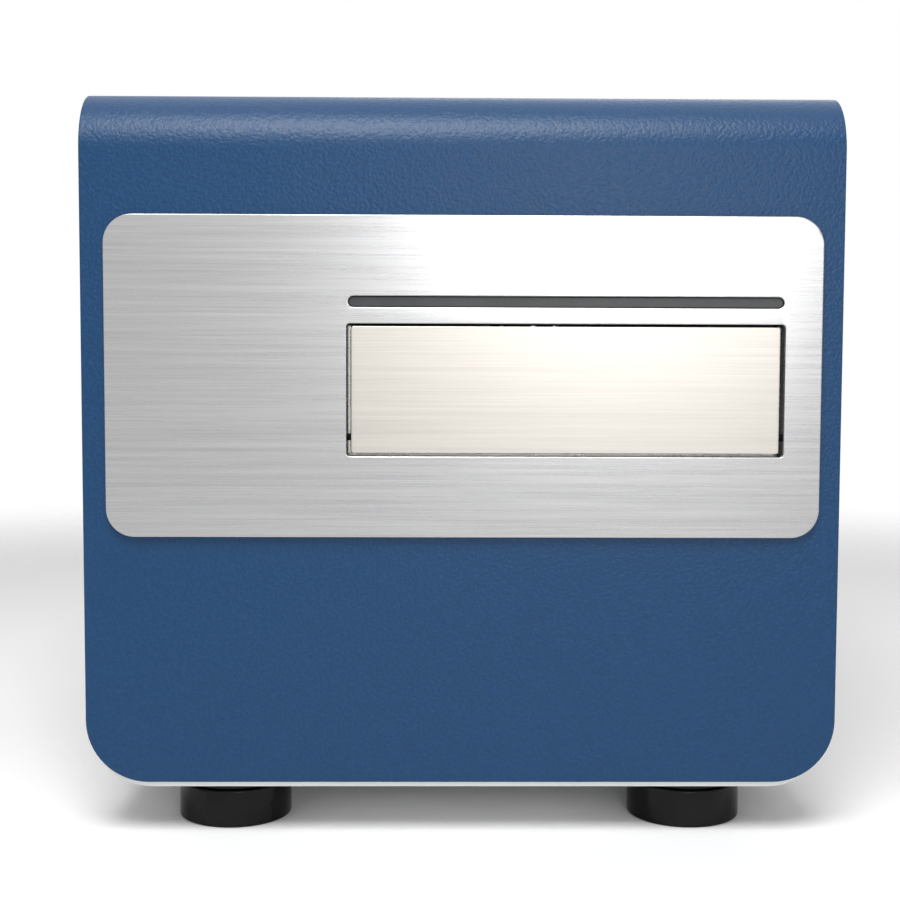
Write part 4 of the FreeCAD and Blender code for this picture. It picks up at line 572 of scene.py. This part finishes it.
@dataclass
class Plate:
    """A flat plate with holes and softly rounded rims, which may be bent afterwards."""

    outer: Outline
    holes: Sequence[Union[Outline, Cell]]
    front: float
    back: float
    rim: float
    rim_steps: int
    cuts: Sequence[float] = ()

    def profile(self) -> list[Point2]:
        """Inset and depth of each ring, from the front face over the wall to the back face.

        Returns:
            Pairs of inset and depth.
        """
        rows = []
        for k in range(self.rim_steps + 1):
            angle = QUARTER * k / self.rim_steps
            inset, depth = self.rim * (1 - math.sin(angle)), self.rim * (1 - math.cos(angle))
            rows.append((inset, self.front + depth))
        return rows + [(inset, self.front + self.back - depth) for inset, depth in reversed(rows)]

    def mesh(self, name: str, put: Put) -> bpy.types.Mesh:
        """Builds the plate and puts each of its points in place.

        Args:
            name: the mesh's name.
            put: turns flat coordinates and depth into a place.

        Returns:
            The mesh.
        """
        solid = bmesh.new()
        caps: tuple[list, list] = ([], [])
        for number, shape in enumerate([self.outer, *self.holes]):
            side = 1 if number == 0 else -1
            rings = []
            for inset, depth in self.profile():
                rings.append([solid.verts.new((u, v, depth)) for u, v in shape.ring(side * inset)])
            for low, high in zip(rings, rings[1:]):
                for k in range(len(low)):
                    solid.faces.new((low[k - 1], low[k], high[k], high[k - 1]))
            for cap, ring in zip(caps, (rings[0], rings[-1])):
                for k in range(len(ring)):
                    cap.append(solid.edges.get((ring[k - 1], ring[k])))
        for cap in caps:
            bmesh.ops.triangle_fill(solid, edges=cap, use_beauty=True)
        bmesh.ops.remove_doubles(solid, verts=solid.verts, dist=2 * SPECK)
        for cut in self.cuts:
            everything = solid.verts[:] + solid.edges[:] + solid.faces[:]
            bmesh.ops.bisect_plane(solid, geom=everything, dist=SPECK, plane_co=(0, cut, 0),
                                   plane_no=(0, 1, 0))
        for vert in solid.verts:
            vert.co = put(*vert.co)
        bmesh.ops.recalc_face_normals(solid, faces=solid.faces)
        return finished(solid, name)


@dataclass
class Bend:
    """A sheet's path: straight, round a bend, straight, round a second bend, straight."""

    start: Point2
    headings: tuple[float, float, float]
    runs: tuple[float, float, float]
    radius: float
    steps: int = 28

    def arc(self) -> float:
        """Length of one bend along the outer face."""
        return self.radius * QUARTER

    def marks(self) -> list[float]:
        """Where the flat sheet needs edges so that its bends come out round.

        Returns:
            Distances along the sheet.
        """
        first = self.runs[0]
        second = first + self.arc() + self.runs[1]
        return [base + self.arc() * k / self.steps
                for base in (first, second) for k in range(self.steps + 1)]

    def point(self, along: float, inward: float) -> Point2:
        """A point of the bent sheet.

        Args:
            along: distance along the outer face.
            inward: distance from the outer face into the sheet.

        Returns:
            Its place in the plane of the bend.
        """
        x, y = self.start
        heading = self.headings[0]
        left = along
        for number in range(3):
            run = self.runs[number]
            step = min(left, run) if number < 2 else left
            x, y = x + step * math.cos(heading), y + step * math.sin(heading)
            left -= step
            if left <= TINY or number == 2:
                break
            turn = self.headings[number + 1] - heading
            share = min(left / self.arc(), 1.0)
            reach = math.copysign(self.radius, turn)
            x, y = x - reach * math.sin(heading), y + reach * math.cos(heading)
            heading += turn * share
            x, y = x + reach * math.sin(heading), y - reach * math.cos(heading)
            left -= min(left, self.arc())
            if share < 1:
                break
        side = math.copysign(1.0, self.headings[1] - self.headings[0])
        return x - side * inward * math.sin(heading), y + side * inward * math.cos(heading)


def finished(solid: bmesh.types.BMesh, name: str, angle: float = 32.0) -> bpy.types.Mesh:
    """Turns a built solid into a mesh, smooth except at its corners.

    Args:
        solid: the solid, which is used up.
        name: the mesh's name.
        angle: the bend in degrees above which an edge stays sharp.

    Returns:
        The mesh.
    """
    bmesh.ops.dissolve_degenerate(solid, dist=SPECK, edges=solid.edges)
    mesh = bpy.data.meshes.new(name)
    solid.to_mesh(mesh)
    solid.free()
    mesh.shade_smooth()
    mesh.set_sharp_from_angle(angle=math.radians(angle))
    return mesh


def joined(name: str, meshes: Sequence[bpy.types.Mesh]) -> bpy.types.Mesh:
    """Several meshes as one, which uses them up.

    Args:
        name: the new mesh's name.
        meshes: the meshes, each in place.

    Returns:
        The one mesh.
    """
    solid = bmesh.new()
    for mesh in meshes:
        solid.from_mesh(mesh)
        bpy.data.meshes.remove(mesh)
    return finished(solid, name)


def even(piece: bpy.types.Object) -> None:
    """Lets the large faces of a piece lead its shading, so that flat faces look flat.

    Args:
        piece: the piece.
    """
    flat = piece.modifiers.new("even", "WEIGHTED_NORMAL")
    flat.keep_sharp = True
    flat.weight = 100


def turned(name: str, profile: Sequence[Point2], centre: Sequence[float], axis: Axis, sides: int,
           cut: Callable[[float, float], float] = lambda height, turn: 0.0) -> bpy.types.Mesh:
    """A turned piece from its half section.

    Args:
        name: the mesh's name.
        profile: radius and height pairs, closed on the axis or as a ring.
        centre: where the section's height 0 lies.
        axis: what it is turned about.
        sides: how many chords go round.
        cut: how much comes off the radius at a height and a share of a turn, as for a thread.

    Returns:
        The mesh.
    """
    solid = bmesh.new()
    rings = []
    for radius, height in profile:
        ring = []
        for k in range(sides if radius > TINY else 1):
            angle = 2 * math.pi * k / sides
            reach = radius - cut(height, k / sides)
            local = [reach * math.cos(angle), reach * math.sin(angle)]
            local.insert(axis.value, height)
            ring.append(solid.verts.new(Vector(local) + Vector(centre)))
        rings.append(ring)
    pairs = list(zip(rings, rings[1:]))
    if len(rings[0]) > 1 and len(rings[-1]) > 1:
        pairs.append((rings[-1], rings[0]))
    for low, high in pairs:
        for k in range(sides):
            below = [low[k - 1], low[k]] if len(low) > 1 else low
            above = [high[k], high[k - 1]] if len(high) > 1 else high
            solid.faces.new(below + above)
    bmesh.ops.recalc_face_normals(solid, faces=solid.faces)
    return finished(solid, name)


def arc(cx: float, cy: float, radius: float, start: float, end: float,
        steps: int) -> list[Point2]:
    """Points on an arc.

    Args:
        cx: centre, first coordinate.
        cy: centre, second coordinate.
        radius: the arc's radius.
        start: first angle in degrees.
        end: last angle in degrees.
        steps: how many chords it has.

    Returns:
        The points.
    """
    angles = [math.radians(start + (end - start) * k / steps) for k in range(steps + 1)]
    return [(cx + radius * math.cos(a), cy + radius * math.sin(a)) for a in angles]


def show(mesh: bpy.types.Mesh, finish: bpy.types.Material, body: str,
         stands_for: Sequence[str] = ()) -> bpy.types.Object:
    """Puts a mesh into the scene as a piece of the instrument.

    Args:
        mesh: the piece's mesh, in place.
        finish: its material.
        body: the body it moves with.
        stands_for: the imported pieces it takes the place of.

    Returns:
        The piece.
    """
    piece = bpy.data.objects.new(mesh.name, mesh)
    bpy.context.scene.collection.objects.link(piece)
    mesh.materials.append(finish)
    even(piece)
    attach(piece, body)
    if stands_for:
        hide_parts(*stands_for)
    LOG.info("%s: %d faces on %s", piece.name, len(mesh.polygons), body)
    return piece


def upright(across: float, up: float, back: float) -> tuple[float, float, float]:
    """The place of a point of a plate that stands upright across the instrument."""
    return across, back, up


def corners(node: str) -> tuple[Vector, Vector]:
    """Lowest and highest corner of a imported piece.

    Args:
        node: the piece's name.

    Returns:
        Both corners, in metres.
    """
    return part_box(node)


class Finishes:
    """Every finish of the instrument, made once."""

    def __init__(self) -> None:
        """Makes the materials."""
        self.blue = PowderCoat("blue_powder_coat", tone(16, 58, 96), 600.0, 0.28 * MM,
                               0.38).material()
        self.white = PowderCoat("white_powder_coat", tone(226, 227, 226), 2200.0, 0.03 * MM, 0.42,
                                mottle=0.015).material()
        self.face = Brushed("brushed_faceplate", tone(171, 171, 172), 0.28, 0.09).material()
        self.door = Brushed("brushed_door", tone(178, 174, 168), 0.36, 0.08).material()
        self.foot = Moulded("gloss_black_foot", tone(12, 12, 12), 0.20, 900.0, 0.01 * MM,
                            coat=0.05, shine=0.12).material()
        self.black_plastic = Moulded("black_plastic", tone(34, 34, 36), 0.5).material()
        self.black_metal = Machined("black_anodised", tone(44, 45, 48), 0.44, 0.7).material()
        self.screw = Machined("black_screws", tone(40, 40, 42), 0.36, 0.8).material()
        self.zinc = Machined("zinc_fasteners", tone(196, 196, 190), 0.28).material()
        self.aluminium = Machined("machined_aluminium", tone(198, 199, 200), 0.34).material()
        self.steel = Machined("rail_steel", tone(186, 187, 188), 0.22).material()
        self.brass = Machined("gear_brass", tone(206, 172, 104), 0.28).material()
        self.acetal = Moulded("gear_plastic", tone(226, 222, 208), 0.4, 700.0, 0.01 * MM).material()
        self.motor = Moulded("motor_black", tone(30, 31, 33), 0.32, 500.0, 0.01 * MM).material()
        self.can = Machined("motor_can", tone(190, 190, 186), 0.25).material()
        self.felt = Moulded("black_felt", tone(16, 16, 16), 0.85, depth=0.06 * MM,
                            shine=0.1).material()
        self.lens = Moulded("smoked_lens", tone(60, 61, 62), 0.30, 400.0, 0.004 * MM,
                            shine=0.2).material()
        self.board = Board("circuit_board", Axis.X, Axis.Z).material()
        self.controller = Board("controller_circuit_board", Axis.Y, Axis.Z, back=-166.55 * MM,
                                front=-164.85 * MM).material()
        self.diffuser = Moulded("lamp_panel", tone(240, 240, 236), 0.5, 600.0, 0.01 * MM).material()
        self.glass = Clear("filter_glass", tone(214, 120, 48)).material()
        self.barrel = Machined("objective_barrel", tone(204, 204, 202), 0.2).material()
        self.supply = Machined("supply_case", tone(178, 180, 180), 0.4).material()


@dataclass
class Cover:
    """The blue sheet: a flat blank with its window and screw holes, folded twice."""

    finishes: Finishes
    sheet: float = 2.0 * MM
    rim: float = 0.6 * MM
    bend: float = 28.5 * MM
    corner: float = 30.0 * MM
    lip_corner: float = 2.0 * MM
    lip_bottom: float = 300.0 * MM
    window_x: Point2 = (-68.3 * MM, 165.4 * MM)
    window_z: Point2 = (163.0 * MM, 264.4 * MM)
    window_corner: float = 4.0 * MM
    hole: float = 2.3 * MM
    hole_inset: float = 30.0 * MM
    hole_drop: float = 14.0 * MM
    hole_shares: Point2 = (1.0, 0.36)
    low: Vector = field(default_factory=lambda: corners("outer_cover")[0])
    high: Vector = field(default_factory=lambda: corners("outer_cover")[1])

    def build(self) -> None:
        """Folds the cover and dresses it."""
        low, high = self.low, self.high
        rise = high.z - self.bend - low.z
        across = high.y - low.y - 2 * self.bend
        lip = high.z - self.bend - self.lip_bottom
        path = Bend((low.y, low.z), (QUARTER, 0.0, -QUARTER), (rise, across, lip), self.bend)
        length = rise + across + lip + 2 * path.arc()
        radii = (self.lip_corner, self.lip_corner, self.corner, self.corner)
        blank = Outline(low.x, high.x, 0.0, length, radii, 16)
        bottom, top = (z - low.z for z in self.window_z)
        window = box_outline(*self.window_x, bottom, top, self.window_corner, 8)
        holes = [window, *self.lip_holes(length)]
        plate = Plate(blank, holes, 0.0, self.sheet, self.rim, 3, path.marks())

        def put(x: float, along: float, inward: float) -> tuple[float, float, float]:
            """A point of the blank on the folded sheet."""
            y, z = path.point(along, inward)
            return x, y, z

        mesh = plate.mesh("cover_sheet", put)
        show(mesh, self.finishes.blue, HOUSING, ["outer_cover"])

    def lip_holes(self, length: float) -> list[Cell]:
        """The screw holes of the rear lip, on the blank.

        Args:
            length: the blank's length.

        Returns:
            One round hole for each screw.
        """
        reach = self.high.x - self.hole_inset
        return [Cell(side * reach * share, length - self.hole_drop, self.hole, 24)
                for side in (-1, 1) for share in self.hole_shares]


@dataclass
class Faceplate:
    """The brushed plate on the front, with the door's opening and the light bar's slot."""

    finishes: Finishes
    sheet: float = 3.0 * MM
    corner: float = 13.5 * MM
    edge: float = 0.5 * MM
    opening: Outline = box_outline(-54.8 * MM, 151.9 * MM, 184.0 * MM, 246.5 * MM, 1.6 * MM, 5)
    slot: Outline = box_outline(-53.95 * MM, 151.05 * MM, 254.2 * MM, 259.4 * MM, 2.599 * MM, 8)

    def build(self) -> None:
        """Cuts the plate and dresses it."""
        low, high = corners("faceplate")
        outer = box_outline(low.x, high.x, low.z, high.z, self.corner, 14)
        plate = Plate(outer, [self.opening, self.slot], low.y, low.y + self.sheet, self.edge, 3)
        mesh = plate.mesh("faceplate_sheet", upright)
        show(mesh, self.finishes.face, HOUSING, ["faceplate"])


@dataclass
class LeadScrew:
    """A lead screw with rolled ridges between plain ends, and its coupling where it has one.

    The ridge is the distance from one to the next. Threads and collar give two heights each.
    """

    finishes: Finishes
    node: str
    axis: Axis
    radius: float
    ridge: float
    starts: int
    threads: Point2
    collar: Optional[Point2] = None
    soft: float = 0.4 * MM
    groove: float = 0.1
    rings: int = 5
    sides: int = 28

    def cut(self, height: float, turn: float) -> float:
        """How deep the thread lies below the shank.

        Args:
            height: how far along the screw, from its lower end.
            turn: how far round it, as a share of a turn.

        Returns:
            The depth in metres.
        """
        if not self.threads[0] < height < self.threads[1]:
            return 0.0
        wave = math.cos(2 * math.pi * (height / self.ridge - self.starts * turn))
        return self.ridge * self.groove * (1 - wave)

    def build(self) -> None:
        """Turns the screw and dresses it."""
        low, high = corners(self.node)
        along = self.axis.value
        length = high[along] - low[along]
        start, end = self.threads
        steps = int((end - start) / self.ridge * self.rings)
        profile = [(0.0, 0.0), (self.radius - self.soft, 0.0), (self.radius, self.soft)]
        profile += [(self.radius, start + (end - start) * k / steps) for k in range(steps + 1)]
        if self.collar:
            wide = (high[(along + 1) % 3] - low[(along + 1) % 3]) / 2
            first, last = self.collar
            sleeve = [(self.radius, first), (wide - self.soft, first), (wide, first + self.soft),
                      (wide, last - self.soft), (wide - self.soft, last), (self.radius, last)]
            profile = profile + sleeve if first > end else profile[:3] + sleeve + profile[3:]
        profile += [(self.radius, length - self.soft), (self.radius - self.soft, length),
                    (0.0, length)]
        centre = (low + high) / 2
        centre[along] = low[along]
        mesh = turned(self.node + "_turned", profile, centre, self.axis, self.sides, self.cut)
        show(mesh, self.finishes.steel, self.node, [self.node])


@dataclass
class Linings:
    """Strips in the door's tunnel: felt above the door, bright sheet behind its other gaps."""

    finishes: Finishes
    room: float = 0.4 * MM
    sheet: float = 2.5 * MM
    side: float = 2.15 * MM
    side_thick: float = 1.75 * MM
    behind_pin: float = 8.2 * MM
    behind_swing: float = 12.2 * MM
    sill_top: float = 184.9 * MM
    sill_thick: float = 2.4 * MM
    thick: float = 1.5 * MM
    soft: float = 0.25 * MM

    def strip(self, name: str, x: Point2, z: Point2, front: float) -> bpy.types.Mesh:
        """One strip.

        Args:
            name: its name.
            x: its left and right ends.
            z: its lower and upper edges.
            front: where its front face lies.

        Returns:
            The mesh.
        """
        outline = box_outline(*x, *z, self.soft, 3)
        return Plate(outline, [], front, front + self.thick, self.soft, 2).mesh(name, upright)

    def build(self) -> None:
        """Lays the felt under the roof, and the sheet strips at both sides and on the floor."""
        leaf_low, leaf_high = corners("door_leaf")
        roof = corners("door_frame")[1].z - self.sheet
        left, right = leaf_low.x - self.side, leaf_high.x + self.side
        felt = self.strip("light_seal", (left + self.room, right - self.room),
                          (leaf_high.z + self.room, roof), leaf_low.y + self.sheet + self.room)
        show(felt, self.finishes.felt, HOUSING)
        pin_back, swing_back = leaf_low.y + self.behind_pin, leaf_low.y + self.behind_swing
        rise, step = (self.sill_top, roof), (self.sill_top - self.sill_thick, self.sill_top)
        meshes = [self.strip("left", (left, left + self.side_thick), rise, pin_back),
                  self.strip("right", (right - self.side_thick, right), rise, pin_back),
                  self.strip("sill", (left, right), step, swing_back)]
        show(joined("tunnel_linings", meshes), self.finishes.zinc, HOUSING)


@dataclass
class Door:
    """The flap with its ears round the hinge pins and the stiffening fold along its top."""

    finishes: Finishes
    sheet: float = 2.5 * MM
    edge: float = 0.35 * MM
    corner: float = 1.2 * MM
    let_in: float = 0.5 * MM
    fold_inset: float = 6.0 * MM
    fold_depth: float = 5.0 * MM
    fold_drop: Point2 = (3.5 * MM, 1.5 * MM)
    fold_corner: float = 0.6 * MM
    fold_edge: float = 0.25 * MM
    ear: float = 2.0 * MM
    ear_round: float = 4.0 * MM
    ear_top_round: float = 3.0 * MM
    ear_root: float = 0.2 * MM
    ear_rise: float = 14.0 * MM
    ear_edge: float = 0.15 * MM
    pin: float = 1.5 * MM
    hinge_depth: float = 5.1 * MM
    hinge_rise: float = 7.3 * MM

    def fold(self, low: Vector, high: Vector, back: float) -> bpy.types.Mesh:
        """The stiffening fold along the top of the flap.

        Args:
            low: lowest corner of the door.
            high: highest corner of the door.
            back: where the back face of the flap lies.

        Returns:
            The mesh.
        """
        outline = box_outline(low.x + self.fold_inset, high.x - self.fold_inset,
                              back - self.let_in, back + self.fold_depth, self.fold_corner, 3)
        bottom, top = (high.z - drop for drop in self.fold_drop)
        plate = Plate(outline, [], bottom, top, self.fold_edge, 2)
        return plate.mesh("fold", lambda x, y, z: (x, y, z))

    def ears(self, low: Vector, high: Vector, back: float) -> list[bpy.types.Mesh]:
        """The two ears that turn on the hinge pins.

        Args:
            low: lowest corner of the door.
            high: highest corner of the door.
            back: where the back face of the flap lies.

        Returns:
            Their meshes.
        """
        hinge, middle = low.z + self.hinge_rise, low.y + self.hinge_depth
        radii = (self.ear_top_round, self.ear_root, self.ear_root, self.ear_round - 0.01 * MM)
        outline = Outline(back - self.let_in, middle + self.ear_round, hinge - self.ear_round,
                          hinge + self.ear_rise, radii, 10)
        bore = Cell(middle, hinge, self.pin, 32)
        plates = [Plate(outline, [bore], x, x + self.ear, self.ear_edge, 2)
                  for x in (low.x, high.x - self.ear)]
        return [plate.mesh("ear", lambda y, z, x: (x, y, z)) for plate in plates]

    def build(self) -> None:
        """Makes the flap, its ears and its fold as one piece."""
        low, high = corners("door_leaf")
        back = low.y + self.sheet
        outline = box_outline(low.x, high.x, low.z, high.z, self.corner, 5)
        leaf = Plate(outline, [], low.y, back, self.edge, 3).mesh("leaf", upright)
        meshes = [leaf, self.fold(low, high, back), *self.ears(low, high, back)]
        mesh = joined("door_sheet", meshes)
        show(mesh, self.finishes.door, "door", ["door_leaf"])


@dataclass
class Foot:
    """A glossy turned foot with a thin flange, a groove and a soft shoulder."""

    finishes: Finishes
    node: str
    flange: float = 4.4 * MM
    flange_lip: float = 0.3 * MM
    flange_low: float = 0.5 * MM
    flange_high: float = 0.4 * MM
    groove: float = 1.0 * MM
    groove_depth: float = 3.4 * MM
    shoulder: float = 1.2 * MM
    sole: float = 1.2 * MM
    pocket: float = 7.0 * MM
    pocket_edge: float = 0.6 * MM
    pocket_roof: float = 14.0 * MM
    bore: float = 2.8 * MM

    def profile(self, radius: float, height: float) -> list[Point2]:
        """The foot's half section.

        Args:
            radius: radius of the flange.
            height: height of the foot.

        Returns:
            Radius and height pairs, as a ring.
        """
        body = radius - self.flange_lip
        neck = body - self.groove_depth
        top = height - self.flange
        shelf = top - self.groove
        under, over = self.flange_low, self.flange_high
        points = [(self.pocket, self.pocket_roof), (self.pocket, self.pocket_edge),
                  (self.pocket + self.pocket_edge, 0.0)]
        points += arc(body - self.sole, self.sole, self.sole, -90, 0, 5)
        points += arc(body - self.shoulder, shelf - self.shoulder, self.shoulder, 0, 90, 8)
        points += [(neck, shelf), (neck, top)]
        points += arc(radius - under, top + under, under, -90, 0, 3)
        points += arc(radius - over, height - over, over, 0, 90, 3)
        return points + [(self.bore, height), (self.bore, self.pocket_roof)]

    def build(self) -> None:
        """Turns the foot and dresses it."""
        low, high = corners(self.node)
        middle = (low + high) / 2
        profile = self.profile((high.x - low.x) / 2, high.z)
        mesh = turned(self.node + "_turned", profile, (middle.x, middle.y, 0.0), Axis.Z, 96)
        show(mesh, self.finishes.foot, HOUSING, [self.node])


@dataclass
class Workings:
    """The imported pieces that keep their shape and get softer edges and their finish."""

    finishes: Finishes
    edge: float = 0.25 * MM
    edges: dict[str, float] = field(default_factory=lambda: {
        "rear_panel": 0.12 * MM, "base_plate": 0.5 * MM, "stage_plate": 0.3 * MM,
        "filter_glasses": 0.0})
    rebuilt: tuple[str, ...] = (
        "outer_cover", "faceplate", "door_leaf", "foot_front_left", "foot_front_right",
        "foot_rear_left", "foot_rear_right", "stage_screw", "cross_screw", "focus_screw")
    same_plane: float = 0.5
    bevel_above: float = 38.0

    def build(self) -> None:
        """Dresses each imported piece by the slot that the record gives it."""
        by_slot = {
            "blue_powder_coat": self.finishes.blue, "white_powder_coat": self.finishes.white,
            "brushed_faceplate": self.finishes.face, "brushed_door": self.finishes.door,
            "zinc_fasteners": self.finishes.zinc, "black_screws": self.finishes.screw,
            "black_anodised": self.finishes.black_metal, "black_pins": self.finishes.screw,
            "gear_plastic": self.finishes.acetal, "gear_brass": self.finishes.brass,
            "motor_can": self.finishes.can, "motor_black": self.finishes.motor,
            "machined_aluminium": self.finishes.aluminium, "rail_steel": self.finishes.steel,
            "smoked_lens": self.finishes.lens, "circuit_board": self.finishes.board,
            "lamp_panel": self.finishes.diffuser, "filter_glass": self.finishes.glass,
            "objective_barrel": self.finishes.barrel, "supply_case": self.finishes.supply,
            "black_plastic": self.finishes.black_plastic, "gloss_black_foot": self.finishes.foot,
        }
        own = {"controller_board": self.finishes.controller, "door_hinge_pins": self.finishes.felt}
        for part in frame["record"]["subparts"]:
            piece = frame["nodes"][part["node"]]
            piece.data.materials.clear()
            piece.data.materials.append(own.get(part["node"], by_slot[part["material_slot"]]))
            width = self.edges.get(part["node"], self.edge)
            if part["node"] in self.rebuilt or width == 0:
                continue
            self.soften(part["node"], piece, width)

    def soften(self, node: str, packed: bpy.types.Object, width: float) -> None:
        """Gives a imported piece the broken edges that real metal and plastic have.

        Args:
            node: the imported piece's name.
            packed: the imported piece.
            width: width of the broken edge.
        """
        solid = bmesh.new()
        solid.from_mesh(packed.data)
        bmesh.ops.remove_doubles(solid, verts=solid.verts, dist=0.001 * MM)
        bmesh.ops.dissolve_limit(solid, angle_limit=math.radians(self.same_plane),
                                 verts=solid.verts, edges=solid.edges)
        mesh = finished(solid, node + "_edged", 28.0)
        piece = show(mesh, packed.data.materials[0], self.body_of(node), [node])
        bevel = piece.modifiers.new("edges", "BEVEL")
        bevel.width = width
        bevel.segments = 2
        bevel.limit_method = "ANGLE"
        bevel.angle_limit = math.radians(self.bevel_above)
        bevel.harden_normals = False
        piece.modifiers.move(len(piece.modifiers) - 1, 0)

    def body_of(self, node: str) -> str:
        """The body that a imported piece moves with.

        Args:
            node: the piece's name.

        Returns:
            The body's name.
        """
        bodies = frame["record"]["behaviour"]["bodies"]
        return next(name for name, nodes in bodies.items() if node in nodes)


@dataclass(frozen=True)
class Lamp:
    """One soft square lamp, with its side in metres and its power in watts."""

    name: str
    place: tuple[float, float, float]
    aim: tuple[float, float, float]
    side: float
    power: float

    def hang(self) -> None:
        """Hangs the lamp in its place, facing the point that it aims at."""
        data = bpy.data.lights.new(self.name, "AREA")
        data.shape = "SQUARE"
        data.size = self.side
        data.energy = self.power
        lamp = bpy.data.objects.new(self.name, data)
        lamp.location = self.place
        way = Vector(self.aim) - Vector(self.place)
        lamp.rotation_euler = way.to_track_quat("-Z", "Y").to_euler()
        bpy.context.scene.collection.objects.link(lamp)


@dataclass
class Studio:
    """Pale floor, soft lamps and the camera of the photograph, with its angles in degrees."""

    white: float = 1.0
    fill: float = 0.22
    floor_reach: float = 1.5
    floor_rough: float = 0.7
    floor_tones: Point2 = (0.90, 0.92)
    floor_patches: float = 6.0
    fade: Point2 = (0.70, 1.45)
    lamps: tuple[Lamp, ...] = (
        Lamp("key", (0.26, -1.75, 0.50), (0.05, -0.2, 0.20), 0.42, 5.0),
        Lamp("above", (-0.10, -1.00, 1.39), (0.0, -0.2, 0.33), 0.78, 24.0),
        Lamp("sky", (0.0, 0.1, 1.95), (0.0, 0.0, 0.2), 2.0, 7.0),
        Lamp("back", (0.3, 1.6, 1.3), (0.0, 0.1, 0.2), 1.0, 3.0),
    )
    camera_at: tuple[float, float, float] = (-14.1 * MM, -919.0 * MM, 235.0 * MM)
    lens_mm: float = 59.36
    sensor_mm: float = 36.0
    yaw: float = -0.67
    pitch: float = -3.92
    roll: float = -0.20

    def build(self) -> None:
        """Sets floor, world, lamps and camera."""
        scene = bpy.context.scene
        scene.view_settings.view_transform = "Standard"
        self.floor()
        self.world(scene)
        for lamp in self.lamps:
            lamp.hang()
        self.camera(scene)

    def floor(self) -> None:
        """Lays the pale floor, which fades into the white surroundings away from the part."""
        shader = Shader("pale_floor")
        cloud = shader.noise((self.floor_patches,) * 3, 2.0, 0.5)
        away = shader.node("VectorMath", {"operation": "LENGTH"}, {0: shader.place()}, "Value")
        low, high = ((level,) * 3 for level in self.floor_tones)
        shader.set(Base_Color=shader.blend(cloud, low, high), Roughness=self.floor_rough,
                   Alpha=1.0 - away.between(*self.fade))
        mesh = bpy.data.meshes.new("floor")
        ways = ((-1, -1), (1, -1), (1, 1), (-1, 1))
        places = [(x * self.floor_reach, y * self.floor_reach, 0) for x, y in ways]
        mesh.from_pydata(places, [], [(0, 1, 2, 3)])
        mesh.materials.append(shader.material)
        floor = bpy.data.objects.new("floor", mesh)
        bpy.context.scene.collection.objects.link(floor)

    def world(self, scene: bpy.types.Scene) -> None:
        """Lights from all round, and shows as white to the camera, to gloss and through glass.

        Args:
            scene: the scene.
        """
        world = bpy.data.worlds.new("studio")
        scene.world = world
        world.use_nodes = True
        world.node_tree.nodes.clear()
        tree = Nodes(world.node_tree)
        kinds = ("Is Camera Ray", "Is Glossy Ray", "Is Transmission Ray")
        camera, gloss, through = (tree.node("LightPath", output=kind) for kind in kinds)
        seen = camera.highest(gloss.highest(through))
        fill, bright = (tree.node("Background", None, {"Color": (1, 1, 1, 1), "Strength": strength})
                        for strength in (self.fill, self.white))
        both = tree.node("MixShader", None, {0: seen, 1: fill, 2: bright})
        out = world.node_tree.nodes.new("ShaderNodeOutputWorld")
        world.node_tree.links.new(both.socket, out.inputs["Surface"])

    def camera(self, scene: bpy.types.Scene) -> None:
        """Stands the camera where the photograph was taken.

        Args:
            scene: the scene.
        """
        data = bpy.data.cameras.new("camera")
        data.lens, data.sensor_width = self.lens_mm, self.sensor_mm
        yaw, pitch, roll = (Matrix.Rotation(math.radians(angle), 3, axis) for angle, axis
                            in ((self.yaw, "Z"), (self.pitch, "X"), (self.roll, "Y")))
        turn = yaw @ pitch @ roll
        right, ahead, up = (turn.col[k].copy() for k in range(3))
        matrix = Matrix((right, up, -ahead)).transposed().to_4x4()
        matrix.translation = Vector(self.camera_at)
        camera = bpy.data.objects.new("camera", data)
        camera.matrix_world = matrix
        scene.collection.objects.link(camera)
        scene.camera = camera


def main() -> None:
    """Builds the instrument's looks in order."""
    logging.basicConfig(level=logging.INFO, format="%(name)s: %(message)s")
    finishes = Finishes()
    Workings(finishes).build()
    Cover(finishes).build()
    Faceplate(finishes).build()
    Door(finishes).build()
    Linings(finishes).build()
    for corner in ("front_left", "front_right", "rear_left", "rear_right"):
        Foot(finishes, "foot_" + corner).build()
    LeadScrew(finishes, "stage_screw", Axis.Y, radius=4.0 * MM, ridge=2.5 * MM, starts=4,
              threads=(13 * MM, 273 * MM), collar=(286.3 * MM, 306.3 * MM)).build()
    LeadScrew(finishes, "cross_screw", Axis.X, radius=3.0 * MM, ridge=1.7 * MM, starts=3,
              threads=(32 * MM, 235 * MM), collar=(8.1 * MM, 21.5 * MM)).build()
    LeadScrew(finishes, "focus_screw", Axis.Z, radius=2.0 * MM, ridge=1.0 * MM, starts=2,
              threads=(8 * MM, 28.5 * MM)).build()
    Studio().build()


if __name__ == "__main__":
    main()
